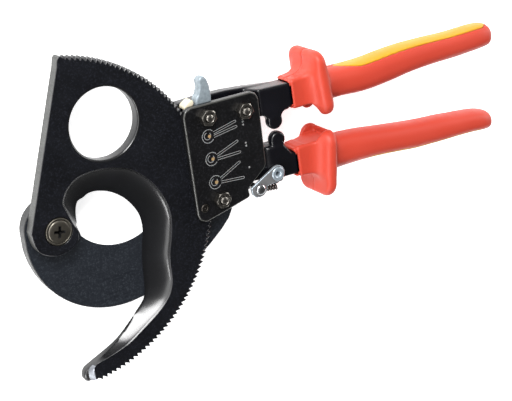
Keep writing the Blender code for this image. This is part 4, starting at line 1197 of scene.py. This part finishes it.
def build_latch_spring():
    """A coil with a hook at each end, which stretches between the link and the handle."""
    turns, radius, wire = 7, 1.6, 0.4
    (x0, y0), (x1, y1), z = (108.4, -15.7), (119.4, -17.4), -4.0
    points = [(107.9, -13.2, z), (108.0, -13.5, z + 0.2)]
    for t in np.linspace(0.0, 1.0, turns * 24 + 1):
        a = 2 * math.pi * turns * t
        x, y = x0 + (x1 - x0) * t, y0 + (y1 - y0) * t
        points.append((x, y + radius * math.cos(a), z + radius * math.sin(a)))
    points.append((120.6, -15.5, z))
    bm = bmesh.new()
    add_tube(bm, points, wire)
    spring = finish(bm, "latch_spring_coil", None, ["latch_spring"], ["spring_wire"])
    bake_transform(spring)


# ---------------------------------------------------------------- hidden nodes, camera, floor and lights

def dress_nodes():
    """Nodes inside the housing keep their CAD shapes."""
    dress = {"zinc": ("holding_pawl", "drive_pawl"),
             "browned": ("holding_pawl_pin", "drive_pawl_pin"),
             "spring_wire": ("holding_pawl_spring", "drive_pawl_spring"),
             "browned_dark": ("spacer_b", "spacer_c")}
    for finish_name, nodes in dress.items():
        for node in nodes:
            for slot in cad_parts[node].material_slots:
                slot.material = materials[finish_name]


def build_stage():
    """A pale floor just under the tool, in metres."""
    floor = bpy.data.meshes.new("floor")
    reach = 4.0
    corners = ((-reach, -reach), (reach, -reach), (reach, reach), (-reach, reach))
    floor.from_pydata([(x, y, -0.0002) for x, y in corners], [], [(0, 1, 2, 3)])
    obj = add_object("floor", floor)
    f = Finish("floor", Roughness=0.85, Emission_Color=(1.0, 1.0, 1.0, 1.0), Emission_Strength=0.75)
    grain = f.grain(60.0, detail=2.0)
    f.apply(Base_Color=f.mix(f.spread(grain, 0.0, 1.0), (0.90, 0.90, 0.90), (0.92, 0.92, 0.92)))
    floor.materials.append(materials["floor"])


def build_camera():
    """The photo's camera: where it looks and what is up, in the tool's frame."""
    look = Vector((0.4480, -0.3763, -0.8110)).normalized()
    right = look.cross(Vector((0.3067, 0.9167, -0.2559))).normalized()
    top = right.cross(look)
    data = bpy.data.cameras.new("camera")
    data.lens = 98.4
    data.sensor_width = 36
    data.clip_start = 0.05
    camera = add_object("camera", data)
    turn = Matrix((right, top, -look)).transposed().to_4x4()
    turn.translation = place(-206.4, 241.5, 562.0)
    camera.matrix_world = turn
    bpy.context.scene.camera = camera


def add_light(name, centre, size, power):
    """An area light that faces the middle of the tool, in metres from it."""
    data = bpy.data.lights.new(name, "AREA")
    data.shape = "RECTANGLE"
    data.size, data.size_y = size
    data.energy = power
    obj = add_object(name, data)
    obj.location = centre
    obj.rotation_euler = (-Vector(centre)).to_track_quat("-Z", "Y").to_euler()


def build_lights():
    add_light("key", (-0.73, 1.40, 1.20), (0.9, 0.8), 56.0)
    add_light("strip_left", (-1.30, -0.85, 0.65), (0.9, 0.35), 14.0)
    add_light("fill", (-1.40, 0.30, 1.10), (1.6, 1.0), 14.0)
    add_light("strip_right", (1.30, 0.20, 0.50), (0.9, 0.3), 8.0)


def build_world():
    """A pale studio, with a dark flag where the flat front faces mirror it."""
    world = bpy.data.worlds.new("studio")
    world.use_nodes = True
    tree = world.node_tree
    shade = tree.nodes["Background"]
    shade.inputs["Color"].default_value = (1.0, 1.0, 1.0, 1.0)
    where = add_node(tree, "ShaderNodeTexCoord").outputs["Generated"]
    towards = add_node(tree, "ShaderNodeVectorMath", "DOT_PRODUCT", Vector=where)
    towards.inputs[1].default_value = Vector((0.448, -0.376, 0.811)).normalized()
    fade = add_node(tree, "ShaderNodeMapRange", Value=towards.outputs["Value"], From_Min=0.35, From_Max=0.92,
                    To_Min=0.50, To_Max=0.10)
    feed(tree, shade.inputs["Strength"], fade.outputs["Result"])
    bpy.context.scene.world = world
    bpy.context.scene.view_settings.view_transform = "Standard"


for build in (build_moving_blade, build_fixed_blade, build_fasteners, build_pivot_screw, build_housing,
              build_icons, build_handles, build_lever, build_latch, dress_nodes, build_stage, build_camera,
              build_lights, build_world):
    build()
